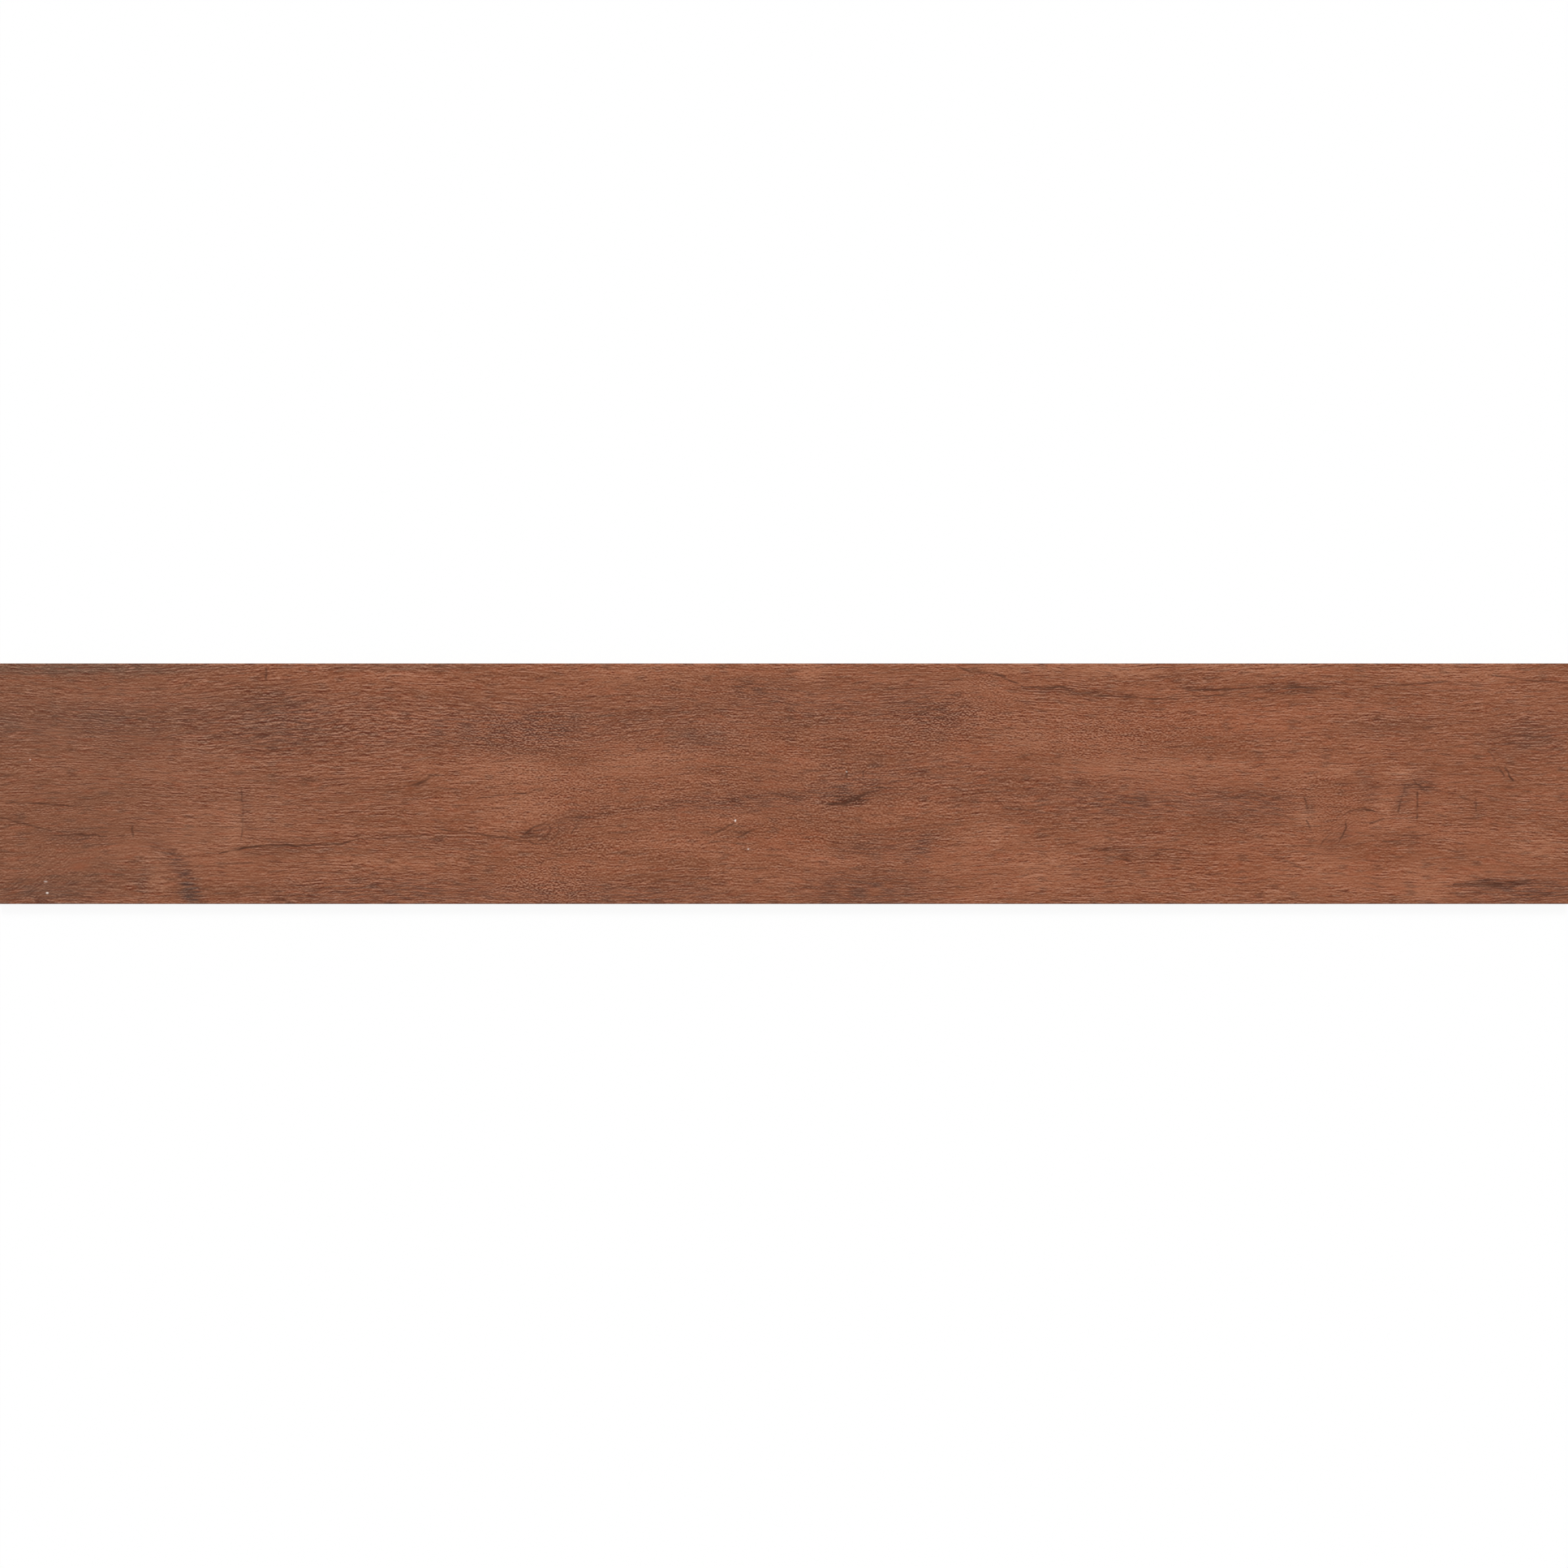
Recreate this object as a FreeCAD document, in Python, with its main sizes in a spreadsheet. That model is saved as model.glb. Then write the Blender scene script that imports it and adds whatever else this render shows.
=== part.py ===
"""Wood-look porcelain plank tile, 23 x 150 cm, pressed and fired as one piece.

The plank lies on its back with the printed face up.
X runs along the plank, Y across it and Z up through its thickness.
The origin is the middle of the back, on the plane of the ribs that the tile lies on.
"""

import FreeCAD, Part
import math
import os
import Sketcher

# Driving dimensions in millimetres, apart from the draft in degrees and the two counts.
SIZES = {
    "plank_length": 1500.0,
    "plank_width": 230.0,
    "plank_thickness": 10.0,
    "face_bevel": 0.6,
    "back_border": 10.0,
    "rib_width": 5.0,
    "cell_depth": 0.7,
    "cell_draft": 30.0,
    "cells_along": 42,
    "cells_across": 6,
}

# The keying cells fill the back evenly from border to border, with a rib between neighbours.
PITCH_ALONG = "(Sizes.plank_length - 2 * Sizes.back_border + Sizes.rib_width) / Sizes.cells_along"
PITCH_ACROSS = "(Sizes.plank_width - 2 * Sizes.back_border + Sizes.rib_width) / Sizes.cells_across"

# The cut of the pressed cells may differ from the worked-out one by this share.
VOLUME_TOLERANCE = 1e-4


def make_sheet(doc):
    """Writes each driving dimension to a spreadsheet cell that has its name."""
    sheet = doc.addObject("Spreadsheet::Sheet", "Sizes")
    for row, (name, value) in enumerate(SIZES.items(), start=1):
        sheet.set(f"A{row}", name)
        sheet.set(f"B{row}", str(value))
        sheet.setAlias(f"B{row}", name)
    doc.recompute()
    return sheet


def rectangle_sketch(body, name, along, across, left, front):
    """Draws a rectangle on the plane of the back.

    along and across are the expressions of its sides. left and front are those of the
    distances from the origin to its corner on that side.
    """
    sketch = body.newObject("Sketcher::SketchObject", name)
    back_plane = next(f for f in body.Origin.OriginFeatures if f.Role == "XY_Plane")
    sketch.AttachmentSupport = (back_plane, "")
    sketch.MapMode = "FlatFace"

    corners = [FreeCAD.Vector(-2, -2), FreeCAD.Vector(-1, -2), FreeCAD.Vector(-1, -1), FreeCAD.Vector(-2, -1)]
    for start, end in zip(corners, corners[1:] + corners[:1]):
        sketch.addGeometry(Part.LineSegment(start, end))
    sides = range(len(corners))
    origin, first, last = (-1, 1), 1, 2
    for side in sides:
        sketch.addConstraint(Sketcher.Constraint("Coincident", side, last, (side + 1) % len(corners), first))
        sketch.addConstraint(Sketcher.Constraint("Vertical" if side % 2 else "Horizontal", side))

    front_side, right_side = 0, 1
    distances = (
        ("along", "DistanceX", (front_side, first, front_side, last), along),
        ("across", "DistanceY", (right_side, first, right_side, last), across),
        ("left", "DistanceX", (front_side, first, *origin), left),
        ("front", "DistanceY", (front_side, first, *origin), front),
    )
    for label, kind, ends, expression in distances:
        index = sketch.addConstraint(Sketcher.Constraint(kind, *ends, 1.0))
        sketch.renameConstraint(index, label)
        sketch.setExpression(f"Constraints.{label}", expression)
    return sketch


def press_blank(doc, body):
    """Pads the plank's outline up to its thickness."""
    outline = rectangle_sketch(
        body,
        "PlankOutline",
        along="Sizes.plank_length",
        across="Sizes.plank_width",
        left="Sizes.plank_length / 2",
        front="Sizes.plank_width / 2",
    )
    blank = body.newObject("PartDesign::Pad", "PressedBlank")
    blank.Profile = outline
    blank.setExpression("Length", "Sizes.plank_thickness")
    doc.recompute()
    return blank


def grind_bevel(doc, body, blank):
    """Takes the sharp arris off the four edges of the printed face."""
    faces = blank.Shape.Faces
    printed_face = max(range(len(faces)), key=lambda i: faces[i].CenterOfMass.z)
    bevel = body.newObject("PartDesign::Chamfer", "GroundBevel")
    bevel.Base = (blank, [f"Face{printed_face + 1}"])
    bevel.setExpression("Size", "Sizes.face_bevel")
    doc.recompute()
    return bevel


def press_keying_cells(doc, body):
    """Sinks the grid of drafted cells into the back, which leaves the ribs that key into adhesive."""
    mouth = rectangle_sketch(
        body,
        "CellMouth",
        along=f"{PITCH_ALONG} - Sizes.rib_width",
        across=f"{PITCH_ACROSS} - Sizes.rib_width",
        left="Sizes.plank_length / 2 - Sizes.back_border",
        front="Sizes.plank_width / 2 - Sizes.back_border",
    )
    cell = body.newObject("PartDesign::Pocket", "KeyingCell")
    cell.Profile = mouth
    cell.Reversed = True
    cell.setExpression("Length", "Sizes.cell_depth")
    cell.setExpression("TaperAngle", "-Sizes.cell_draft")
    doc.recompute()

    grid = body.newObject("PartDesign::MultiTransform", "KeyingGrid")
    grid.Originals = [cell]
    rows = (
        ("CellsAlong", "H_Axis", PITCH_ALONG, "Sizes.cells_along"),
        ("CellsAcross", "V_Axis", PITCH_ACROSS, "Sizes.cells_across"),
    )
    for name, axis, pitch, count in rows:
        row = body.newObject("PartDesign::LinearPattern", name)
        row.Direction = (mouth, [axis])
        row.Mode = "Spacing"
        row.setExpression("Offset", pitch)
        row.setExpression("Occurrences", count)
        grid.Transformations += [row]
    body.Tip = grid
    doc.recompute()
    return grid


def cells_volume(sheet):
    """The volume that the drafted cells take out of the back, worked out from the sheet."""
    border = 2 * sheet.back_border
    mouth_along = (sheet.plank_length - border + sheet.rib_width) / sheet.cells_along - sheet.rib_width
    mouth_across = (sheet.plank_width - border + sheet.rib_width) / sheet.cells_across - sheet.rib_width
    setback = 2 * sheet.cell_depth * math.tan(math.radians(sheet.cell_draft))
    mouth_area = mouth_along * mouth_across
    floor_area = (mouth_along - setback) * (mouth_across - setback)
    middle_area = (mouth_along - setback / 2) * (mouth_across - setback / 2)
    one_cell = sheet.cell_depth * (mouth_area + 4 * middle_area + floor_area) / 6
    return one_cell * sheet.cells_along * sheet.cells_across


def check(doc, body, sheet, volume_before_cells):
    """Stops the build if an object failed, the solid isn't valid or the cells weren't all cut."""
    for item in doc.Objects:
        if {"Invalid", "Error"} & set(item.State):
            raise RuntimeError(f"{item.Name} failed: {item.State}")
    if body.Shape.isNull() or not body.Shape.isValid():
        raise RuntimeError(f"{body.Label} has no valid shape")
    cut = volume_before_cells - body.Shape.Volume
    expected = cells_volume(sheet)
    if abs(cut - expected) > VOLUME_TOLERANCE * expected:
        raise RuntimeError(f"the cells took out {cut:.1f} mm3 and not {expected:.1f} mm3")


def main():
    doc = FreeCAD.newDocument("PlankTile")
    sheet = make_sheet(doc)
    body = doc.addObject("PartDesign::Body", "PlankTileBody")
    body.Label = "plank_tile"
    body.Placement = FreeCAD.Placement()

    blank = press_blank(doc, body)
    bevelled = grind_bevel(doc, body, blank)
    press_keying_cells(doc, body)
    check(doc, body, sheet, bevelled.Shape.Volume)

    os.makedirs("parts", exist_ok=True)
    body.Shape.exportStep(os.path.join("parts", f"{body.Label}.step"))
    print(f"{body.Label}: {body.Shape.Volume / 1e6:.4f} litres, {len(body.Shape.Faces)} faces")


main()
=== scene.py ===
"""Dresses the wood look porcelain plank tile for its picture.

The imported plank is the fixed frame. One piece stands in its place: a closed mesh with the pressed
wood grain on its face, the bevel, the four ground edges and the keyed back, in three finishes.
Lengths are millimetres on the plank unless a name says otherwise, and Blender's own are metres.
"""

import logging
import math
from dataclasses import dataclass
from enum import Enum

import bpy
import numpy as np
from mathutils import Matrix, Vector


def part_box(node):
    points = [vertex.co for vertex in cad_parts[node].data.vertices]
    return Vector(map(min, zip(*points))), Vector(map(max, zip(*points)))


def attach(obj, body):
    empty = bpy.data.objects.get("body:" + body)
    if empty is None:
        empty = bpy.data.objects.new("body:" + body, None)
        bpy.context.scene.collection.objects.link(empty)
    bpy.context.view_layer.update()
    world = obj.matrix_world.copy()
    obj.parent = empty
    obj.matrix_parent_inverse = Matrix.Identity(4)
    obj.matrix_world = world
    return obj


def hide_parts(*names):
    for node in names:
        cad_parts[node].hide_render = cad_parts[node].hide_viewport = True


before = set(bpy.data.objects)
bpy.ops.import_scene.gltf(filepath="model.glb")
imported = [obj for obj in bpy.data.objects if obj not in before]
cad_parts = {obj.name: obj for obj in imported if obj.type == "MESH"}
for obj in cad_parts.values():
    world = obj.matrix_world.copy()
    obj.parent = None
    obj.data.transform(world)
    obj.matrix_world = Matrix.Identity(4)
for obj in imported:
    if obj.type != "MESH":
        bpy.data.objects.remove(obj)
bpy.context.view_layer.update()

NODE_NAME = "plank_tile"
BODY_NAME = "root"
METRES_PER_MM = 0.001
MM_PER_METRE = 1000.0
WHITE = "#ffffff"

log = logging.getLogger("plank_tile_scene")

Tree = bpy.types.NodeTree
Socket = bpy.types.NodeSocket


def linear(hex_colour: str) -> tuple[float, float, float, float]:
    """Turns an sRGB hex colour into the linear colour that a shader reads.

    Args:
        hex_colour: A colour such as "#8a5944".

    Returns:
        Its linear red, green and blue, with an alpha of 1.
    """
    channels = [int(hex_colour[i : i + 2], 16) / 255 for i in (1, 3, 5)]
    red, green, blue = (c / 12.92 if c <= 0.04045 else ((c + 0.055) / 1.055) ** 2.4 for c in channels)
    return red, green, blue, 1.0


def add_node(tree: Tree, kind: str, feeds: dict | None = None, **settings: object) -> bpy.types.Node:
    """Adds a node with its settings, values and links.

    Args:
        tree: The shader or geometry tree that the node goes into.
        kind: The node's type name.
        feeds: What each input gets, by the input's name or number. A socket is linked, each
            socket of a list is linked in turn, and anything else is set as the input's value.
        settings: Values of the node's own properties.

    Returns:
        The new node.
    """
    node = tree.nodes.new(kind)
    for name, value in settings.items():
        setattr(node, name, value)
    for key, value in (feeds or {}).items():
        if isinstance(value, Socket):
            tree.links.new(value, node.inputs[key])
        elif isinstance(value, list):
            for socket in value:
                tree.links.new(socket, node.inputs[key])
        else:
            node.inputs[key].default_value = value
    return node


def millimetres(tree: Tree, position: Socket) -> Socket:
    """Turns a position in metres into millimetres.

    Args:
        tree: The tree that holds the position.
        position: Metres in the plank's frame.

    Returns:
        The position in millimetres.
    """
    feeds = {0: position, "Scale": MM_PER_METRE}
    return add_node(tree, "ShaderNodeVectorMath", feeds, operation="SCALE").outputs[0]


def new_group(name: str, tree_kind: str, vectors: tuple[str, ...], values: tuple[str, ...]) -> Tree:
    """Makes an empty group of nodes that draws one more thing over those before it.

    Args:
        name: The group's name.
        tree_kind: The type name of the trees that the group is for.
        vectors: The names of the inputs that are vectors.
        values: The names of the inputs that are numbers.

    Returns:
        The group, with one output.
    """
    group = bpy.data.node_groups.new(name, tree_kind)
    for socket_type, names in (("NodeSocketVector", vectors), ("NodeSocketFloat", values)):
        for socket in names:
            group.interface.new_socket(socket, in_out="INPUT", socket_type=socket_type)
    group.interface.new_socket("Joined", in_out="OUTPUT", socket_type="NodeSocketFloat")
    return group


def add_group(tree: Tree, group: Tree, feeds: dict) -> Socket:
    """Adds a node that runs a group.

    Args:
        tree: The tree that the node goes into.
        group: The group, which is of the tree's own kind.
        feeds: What each input gets.

    Returns:
        The group's output.
    """
    kind = tree.bl_idname.replace("NodeTree", "NodeGroup")
    return add_node(tree, kind, feeds, node_tree=group).outputs[0]


def new_material(name: str) -> tuple[bpy.types.Material, Tree, bpy.types.Node]:
    """Makes a material that has only its shader.

    Args:
        name: The material's name.

    Returns:
        The material, its tree and its shader.
    """
    material = bpy.data.materials.new(name)
    material.use_nodes = True
    tree = material.node_tree
    return material, tree, tree.nodes["Principled BSDF"]


def inked(tree: Tree, below: Socket | str, share: Socket, ink: str) -> Socket:
    """Lays a share of one colour over another.

    Args:
        tree: The material's tree.
        below: The colour below, as a socket or in sRGB hex.
        share: The share of the upper colour.
        ink: The upper colour in sRGB hex.

    Returns:
        The mixed colour.
    """
    lower = linear(below) if isinstance(below, str) else below
    feeds = {"Factor": share, 6: lower, 7: linear(ink)}
    return add_node(tree, "ShaderNodeMix", feeds, data_type="RGBA").outputs[2]


@dataclass(frozen=True)
class PhotoScale:
    """Turns places in the photograph into millimetres from the middle of the plank's face.

    The face runs from the photograph's left edge to its right edge.
    """

    side_px: float = 1932.0
    face_top_px: float = 817.65
    face_bottom_px: float = 1113.59
    face_length: float = 1500.0
    face_width: float = 230.0

    @property
    def mm_per_px(self) -> float:
        """Millimetres along the plank in one pixel."""
        return self.face_length / self.side_px

    @property
    def middle_px(self) -> float:
        """The row of pixels that the middle of the face lies on."""
        return (self.face_top_px + self.face_bottom_px) / 2

    def place(self, x_px: float, y_px: float) -> tuple[float, float, float]:
        """Finds a pixel's place on the face.

        Args:
            x_px: Pixels from the left of the photograph.
            y_px: Pixels from its top.

        Returns:
            Millimetres along and across the plank, and 0.
        """
        across_per_px = self.face_width / (self.face_bottom_px - self.face_top_px)
        along = (x_px - self.side_px / 2) * self.mm_per_px
        return along, (self.middle_px - y_px) * across_per_px, 0.0


class Figure(Enum):
    """What a mark of the wood's figure is. The value names the mesh attribute that holds it."""

    DUSK = "dusk"
    VEIL = "veil"
    ASH = "ash"
    GLEAM = "gleam"
    STAIN = "stain"
    ROUGH = "rough"
    CURLY = "curly"
    RISING = "rising"


@dataclass(frozen=True)
class FigureMark:
    """One mark of the wood's figure: a soft ellipse, placed on the photograph.

    The tilt lifts the mark's right end, and the strength is its value at the middle.
    """

    what: str
    x_px: float
    y_px: float
    half_long_px: float
    half_wide_px: float
    tilt_deg: float
    strength: float


@dataclass(frozen=True)
class FigureLine:
    """A crack or another thin dark line, drawn from point to point on the photograph."""

    what: str
    half_wide_px: float
    strength: float
    points_px: tuple[tuple[float, float], ...]

    # The width at the ends of a line of several runs, as a share of its width between them.
    END_SHARE = 0.5

    def half_widths_px(self) -> list[float]:
        """Narrows the line towards its ends.

        Returns:
            Half the line's width at each of its points.
        """
        between = len(self.points_px) - 2
        end_share = self.END_SHARE if between else 1.0
        return [self.half_wide_px * share for share in (end_share, *[1.0] * between, end_share)]


FIGURE_MARKS = {
    # Darker heartwood, knots and streaks.
    Figure.DUSK: (
        FigureMark("low mottle, left", 104, 1104, 34, 10, 0, 0.2),
        FigureMark("mottle", 334, 864, 44, 24, 0, 0.28),
        FigureMark("mottle, left", 300, 905, 60, 8, 0, 0.3),
        FigureMark("mottle, low", 326, 925, 44, 7, 0, 0.4),
        FigureMark("mottle, right", 372, 923, 30, 6, 0, 0.4),
        FigureMark("streak under the mottle", 385, 961, 84, 7, -4, 0.35),
        FigureMark("low mottle, middle", 360, 1107, 40, 9, 0, 0.35),
        FigureMark("low spot", 387, 1079, 14, 8, 0, 0.4),
        FigureMark("cross figure, right", 678, 893, 40, 22, 0, 0.16),
        FigureMark("patch below it", 700, 922, 24, 7, 0, 0.3),
        FigureMark("wedge", 652, 1028, 22, 8, 28, 0.45),
        FigureMark("wedge, streak", 735, 1005, 50, 8, 12, 0.35),
        FigureMark("wedge, trail", 800, 995, 66, 7, 5, 0.35),
        FigureMark("spot by the top edge", 920, 843, 16, 10, 0, 0.5),
        FigureMark("dusk band", 878, 948, 36, 8, 0, 0.35),
        FigureMark("trail to the knot, left", 850, 986, 44, 8, 0, 0.35),
        FigureMark("trail to the knot, middle", 912, 985, 38, 10, 5, 0.45),
        FigureMark("trail to the knot, right", 975, 982, 36, 8, 0, 0.5),
        FigureMark("main knot", 1042, 986, 30, 11, 10, 1.0),
        FigureMark("main knot, tail", 1078, 973, 34, 6, 18, 0.5),
        FigureMark("dusk above the knot", 1036, 918, 30, 18, 0, 0.22),
        FigureMark("mottle below the knot", 1058, 1046, 34, 10, 0, 0.25),
        FigureMark("low dusk", 846, 1084, 64, 14, 0, 0.2),
        FigureMark("low dusk, right", 1018, 1096, 70, 16, 0, 0.2),
        FigureMark("cool patch", 1160, 880, 60, 34, 0, 0.28),
        FigureMark("dusk streak", 1122, 953, 52, 10, 0, 0.3),
        FigureMark("dusk, right of the knot", 1192, 986, 30, 12, 0, 0.25),
        FigureMark("dusk, further right", 1260, 998, 36, 8, 0, 0.28),
        FigureMark("dusk streak, middle", 1330, 965, 60, 9, 0, 0.25),
        FigureMark("dusk streak, low", 1394, 988, 64, 11, 0, 0.25),
        FigureMark("eye, patch", 1369, 1047, 28, 7, 0, 0.45),
        FigureMark("top streak, haze", 1320, 852, 120, 9, -3, 0.4),
        FigureMark("top streak, short", 1462, 842, 30, 10, -20, 0.45),
        FigureMark("long streak, left", 1500, 850, 60, 4, 0, 0.4),
        FigureMark("long streak", 1590, 848, 64, 9, 0, 0.6),
        FigureMark("dusk streak, high", 1538, 981, 54, 9, 0, 0.32),
        FigureMark("patch", 1516, 1010, 44, 12, 0, 0.22),
        FigureMark("leaf", 1572, 1053, 24, 8, -25, 0.4),
        FigureMark("cool strokes", 1715, 898, 80, 22, 0, 0.16),
        FigureMark("small knot", 1751, 968, 14, 9, 0, 0.6),
        FigureMark("dusk under it", 1735, 1036, 50, 14, 0, 0.3),
        FigureMark("dusk under it, right", 1806, 1052, 24, 12, 0, 0.25),
        FigureMark("right patch", 1876, 911, 48, 13, 0, 0.12),
        FigureMark("low streak", 1840, 1089, 66, 7, 1, 0.8),
        FigureMark("low streak, foot", 1814, 1103, 9, 16, 0, 0.5),
        FigureMark("low streak, second foot", 1872, 1101, 8, 12, 0, 0.4),
        FigureMark("low corner", 1905, 1104, 44, 8, 0, 0.35),
    ),
    # Soft shadows that lie across the grain.
    Figure.VEIL: (
        FigureMark("heartwood", 390, 892, 560, 62, 0, 0.22),
        FigureMark("heartwood, on", 860, 884, 260, 54, 0, 0.16),
        FigureMark("left end", 10, 896, 90, 40, 0, 0.12),
        FigureMark("upper left", 120, 888, 80, 32, 0, 0.14),
        FigureMark("mottle", 345, 890, 90, 66, 0, 0.14),
        FigureMark("cross figure", 630, 900, 150, 44, 0, 0.2),
        FigureMark("cross figure, right", 680, 895, 50, 40, 0, 0.08),
        FigureMark("spot over the sapwood", 876, 914, 56, 26, 0, 0.2),
        FigureMark("spot by the top edge", 938, 852, 60, 30, 0, 0.2),
        FigureMark("left of the cool patch", 1050, 870, 130, 46, 0, 0.18),
        FigureMark("cool patch", 1150, 878, 90, 56, 0, 0.25),
        FigureMark("heart", 1110, 955, 220, 48, 0, 0.2),
        FigureMark("main knot", 1040, 980, 70, 32, 6, 0.26),
        FigureMark("trail", 905, 988, 150, 22, 3, 0.28),
        FigureMark("wedge", 700, 1014, 80, 20, 22, 0.2),
        FigureMark("below the knot", 1085, 1045, 80, 30, 0, 0.24),
        FigureMark("below the knot, streak", 1140, 1040, 56, 22, 50, 0.26),
        FigureMark("middle", 1340, 985, 210, 40, 0, 0.18),
        FigureMark("middle, streak", 1390, 992, 110, 26, 0, 0.18),
        FigureMark("left of the roses", 1535, 992, 110, 30, 0, 0.3),
        FigureMark("eye", 1390, 1045, 80, 32, 0, 0.14),
        FigureMark("between the roses", 1685, 968, 20, 36, 0, 0.2),
        FigureMark("beside the small knot", 1726, 986, 34, 11, 76, 0.35),
        FigureMark("small knot", 1750, 965, 30, 26, 0, 0.25),
        FigureMark("right fan", 1650, 1030, 44, 20, 40, 0.16),
        FigureMark("right patch", 1890, 908, 90, 44, 0, 0.22),
        FigureMark("low streak", 1876, 1096, 110, 28, 0, 0.4),
        FigureMark("low left", 50, 1102, 150, 34, 0, 0.26),
        FigureMark("left streak", 95, 1032, 60, 18, -4, 0.22),
        FigureMark("arch, shoulder", 204, 1048, 46, 15, -36, 0.22),
        FigureMark("arch, flank", 226, 1074, 44, 16, -58, 0.36),
        FigureMark("arch, foot", 238, 1104, 40, 18, -62, 0.6),
        FigureMark("arch, left leg", 178, 1088, 40, 11, 80, 0.3),
        FigureMark("crack", 370, 1043, 130, 12, 0, 0.16),
        FigureMark("crack, right", 530, 1036, 150, 14, -4, 0.2),
        FigureMark("cross mark", 304, 1000, 10, 44, 0, 0.25),
        FigureMark("low edge, left", 470, 1100, 250, 34, 0, 0.32),
        FigureMark("low edge", 760, 1104, 220, 32, 0, 0.3),
        FigureMark("low edge, under the knot", 1070, 1100, 130, 44, 0, 0.32),
    ),
    # Wood that has weathered to a cooler brown.
    Figure.ASH: (
        FigureMark("left third", 60, 970, 560, 240, 0, 0.23),
        FigureMark("upper left veil", 100, 865, 300, 70, 0, 0.12),
        FigureMark("left end", 6, 893, 36, 18, 0, 0.3),
        FigureMark("patch by the left end", 118, 886, 46, 14, 0, 0.22),
        FigureMark("under the top edge, left", 90, 824, 300, 14, 0, 0.6),
        FigureMark("under the top edge", 490, 822, 150, 9, 0, 0.45),
        FigureMark("low left", 100, 1080, 190, 46, 0, 0.16),
        FigureMark("low left fan", 60, 1100, 70, 16, 0, 0.2),
        FigureMark("arch, foot", 234, 1104, 18, 12, -62, 0.6),
        FigureMark("mottle", 345, 885, 90, 46, 0, 0.16),
        FigureMark("right of the cross figure", 855, 908, 44, 18, 0, 0.3),
        FigureMark("main knot", 1046, 984, 22, 8, 8, 0.5),
        FigureMark("right strokes", 1700, 895, 90, 26, 0, 0.14),
        FigureMark("right patch", 1885, 912, 46, 14, 0, 0.2),
        FigureMark("low streak", 1838, 1090, 50, 5, 1, 0.5),
    ),
    # Sapwood and worn places.
    Figure.GLEAM: (
        FigureMark("by the crack", 286, 1030, 26, 44, 0, 0.8),
        FigureMark("left of the crack", 235, 1030, 50, 34, 0, 0.4),
        FigureMark("inside the arch", 194, 1078, 14, 34, 12, 0.8),
        FigureMark("over the crack", 330, 1000, 60, 30, 0, 0.3),
        FigureMark("under the crack", 470, 1060, 170, 14, 0, 0.4),
        FigureMark("left patch", 72, 901, 26, 9, 0, 0.5),
        FigureMark("sapwood", 630, 950, 90, 30, 0, 0.6),
        FigureMark("sapwood, low", 640, 995, 70, 32, 0, 0.5),
        FigureMark("sapwood, streak", 790, 940, 110, 18, 6, 0.55),
        FigureMark("under the top edge", 780, 832, 120, 18, 0, 0.5),
        FigureMark("under the top edge, middle", 1002, 830, 34, 20, 0, 0.7),
        FigureMark("over the top bend", 1250, 824, 90, 10, 0, 0.6),
        FigureMark("under the top bend", 1234, 850, 50, 7, -14, 0.45),
        FigureMark("under the top edge, right", 1370, 826, 100, 14, 0, 0.9),
        FigureMark("over the long streak", 1540, 823, 120, 12, 0, 0.8),
        FigureMark("under the top edge, end", 1790, 830, 140, 18, 0, 0.55),
        FigureMark("low middle", 1225, 1028, 60, 26, 0, 0.55),
        FigureMark("low middle, right", 1290, 1070, 60, 32, 0, 0.45),
        FigureMark("over the eye", 1350, 1038, 28, 6, 12, 0.5),
        FigureMark("pale stripe", 1420, 944, 190, 18, 0, 0.5),
        FigureMark("over the pale stripe", 1265, 910, 80, 26, 0, 0.35),
        FigureMark("rose", 1650, 950, 26, 12, 0, 0.7),
        FigureMark("rose, left", 1604, 960, 18, 26, 0, 0.5),
        FigureMark("rose, low", 1607, 1007, 26, 16, 0, 0.8),
        FigureMark("rose, by the small knot", 1724, 952, 26, 14, 0, 0.9),
        FigureMark("by the small knot", 1706, 992, 18, 24, 0, 0.6),
        FigureMark("right of the small knot", 1780, 1000, 40, 16, 0, 0.3),
        FigureMark("low right", 1620, 1070, 80, 40, 0, 0.4),
        FigureMark("low right, by the streak", 1750, 1085, 44, 40, 0, 0.5),
        FigureMark("right end", 1895, 1044, 60, 28, 0, 0.6),
        FigureMark("low edge, right", 1572, 1104, 50, 16, 0, 0.35),
        FigureMark("low edge, by the streak", 1764, 1106, 40, 18, 0, 0.4),
    ),
    # Warm resin stains.
    Figure.STAIN: (
        FigureMark("low left", 100, 1068, 20, 12, 0, 0.9),
        FigureMark("under the trail", 975, 1032, 60, 24, 0, 0.35),
        FigureMark("over the trail", 972, 922, 28, 12, 0, 0.4),
        FigureMark("in the cool part", 1184, 917, 20, 10, 0, 0.4),
        FigureMark("right of the middle", 1212, 932, 26, 20, 0, 0.3),
        FigureMark("warm heartwood", 1500, 885, 190, 40, 0, 0.2),
        FigureMark("warm low part", 1600, 1065, 300, 40, 0, 0.2),
        FigureMark("warm right half", 1500, 960, 620, 260, 0, 0.12),
    ),
    # Where the strokes stand out. A mark below 0 calms them.
    Figure.ROUGH: (
        FigureMark("left end", 60, 960, 240, 190, 0, -0.15),
        FigureMark("upper left", 440, 890, 130, 50, 0, 0.22),
        FigureMark("middle left", 560, 920, 200, 80, 0, 0.22),
        FigureMark("upper right", 1350, 890, 200, 60, 0, 0.25),
        FigureMark("right", 1730, 900, 120, 35, 0, 0.1),
        FigureMark("upper band", 960, 893, 620, 46, 0, 0.22),
        FigureMark("calm upper left", 170, 842, 260, 36, 0, -0.12),
        FigureMark("calm low left", 220, 1060, 240, 80, 0, -0.24),
        FigureMark("calm right", 1820, 950, 240, 60, 0, -0.14),
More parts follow.
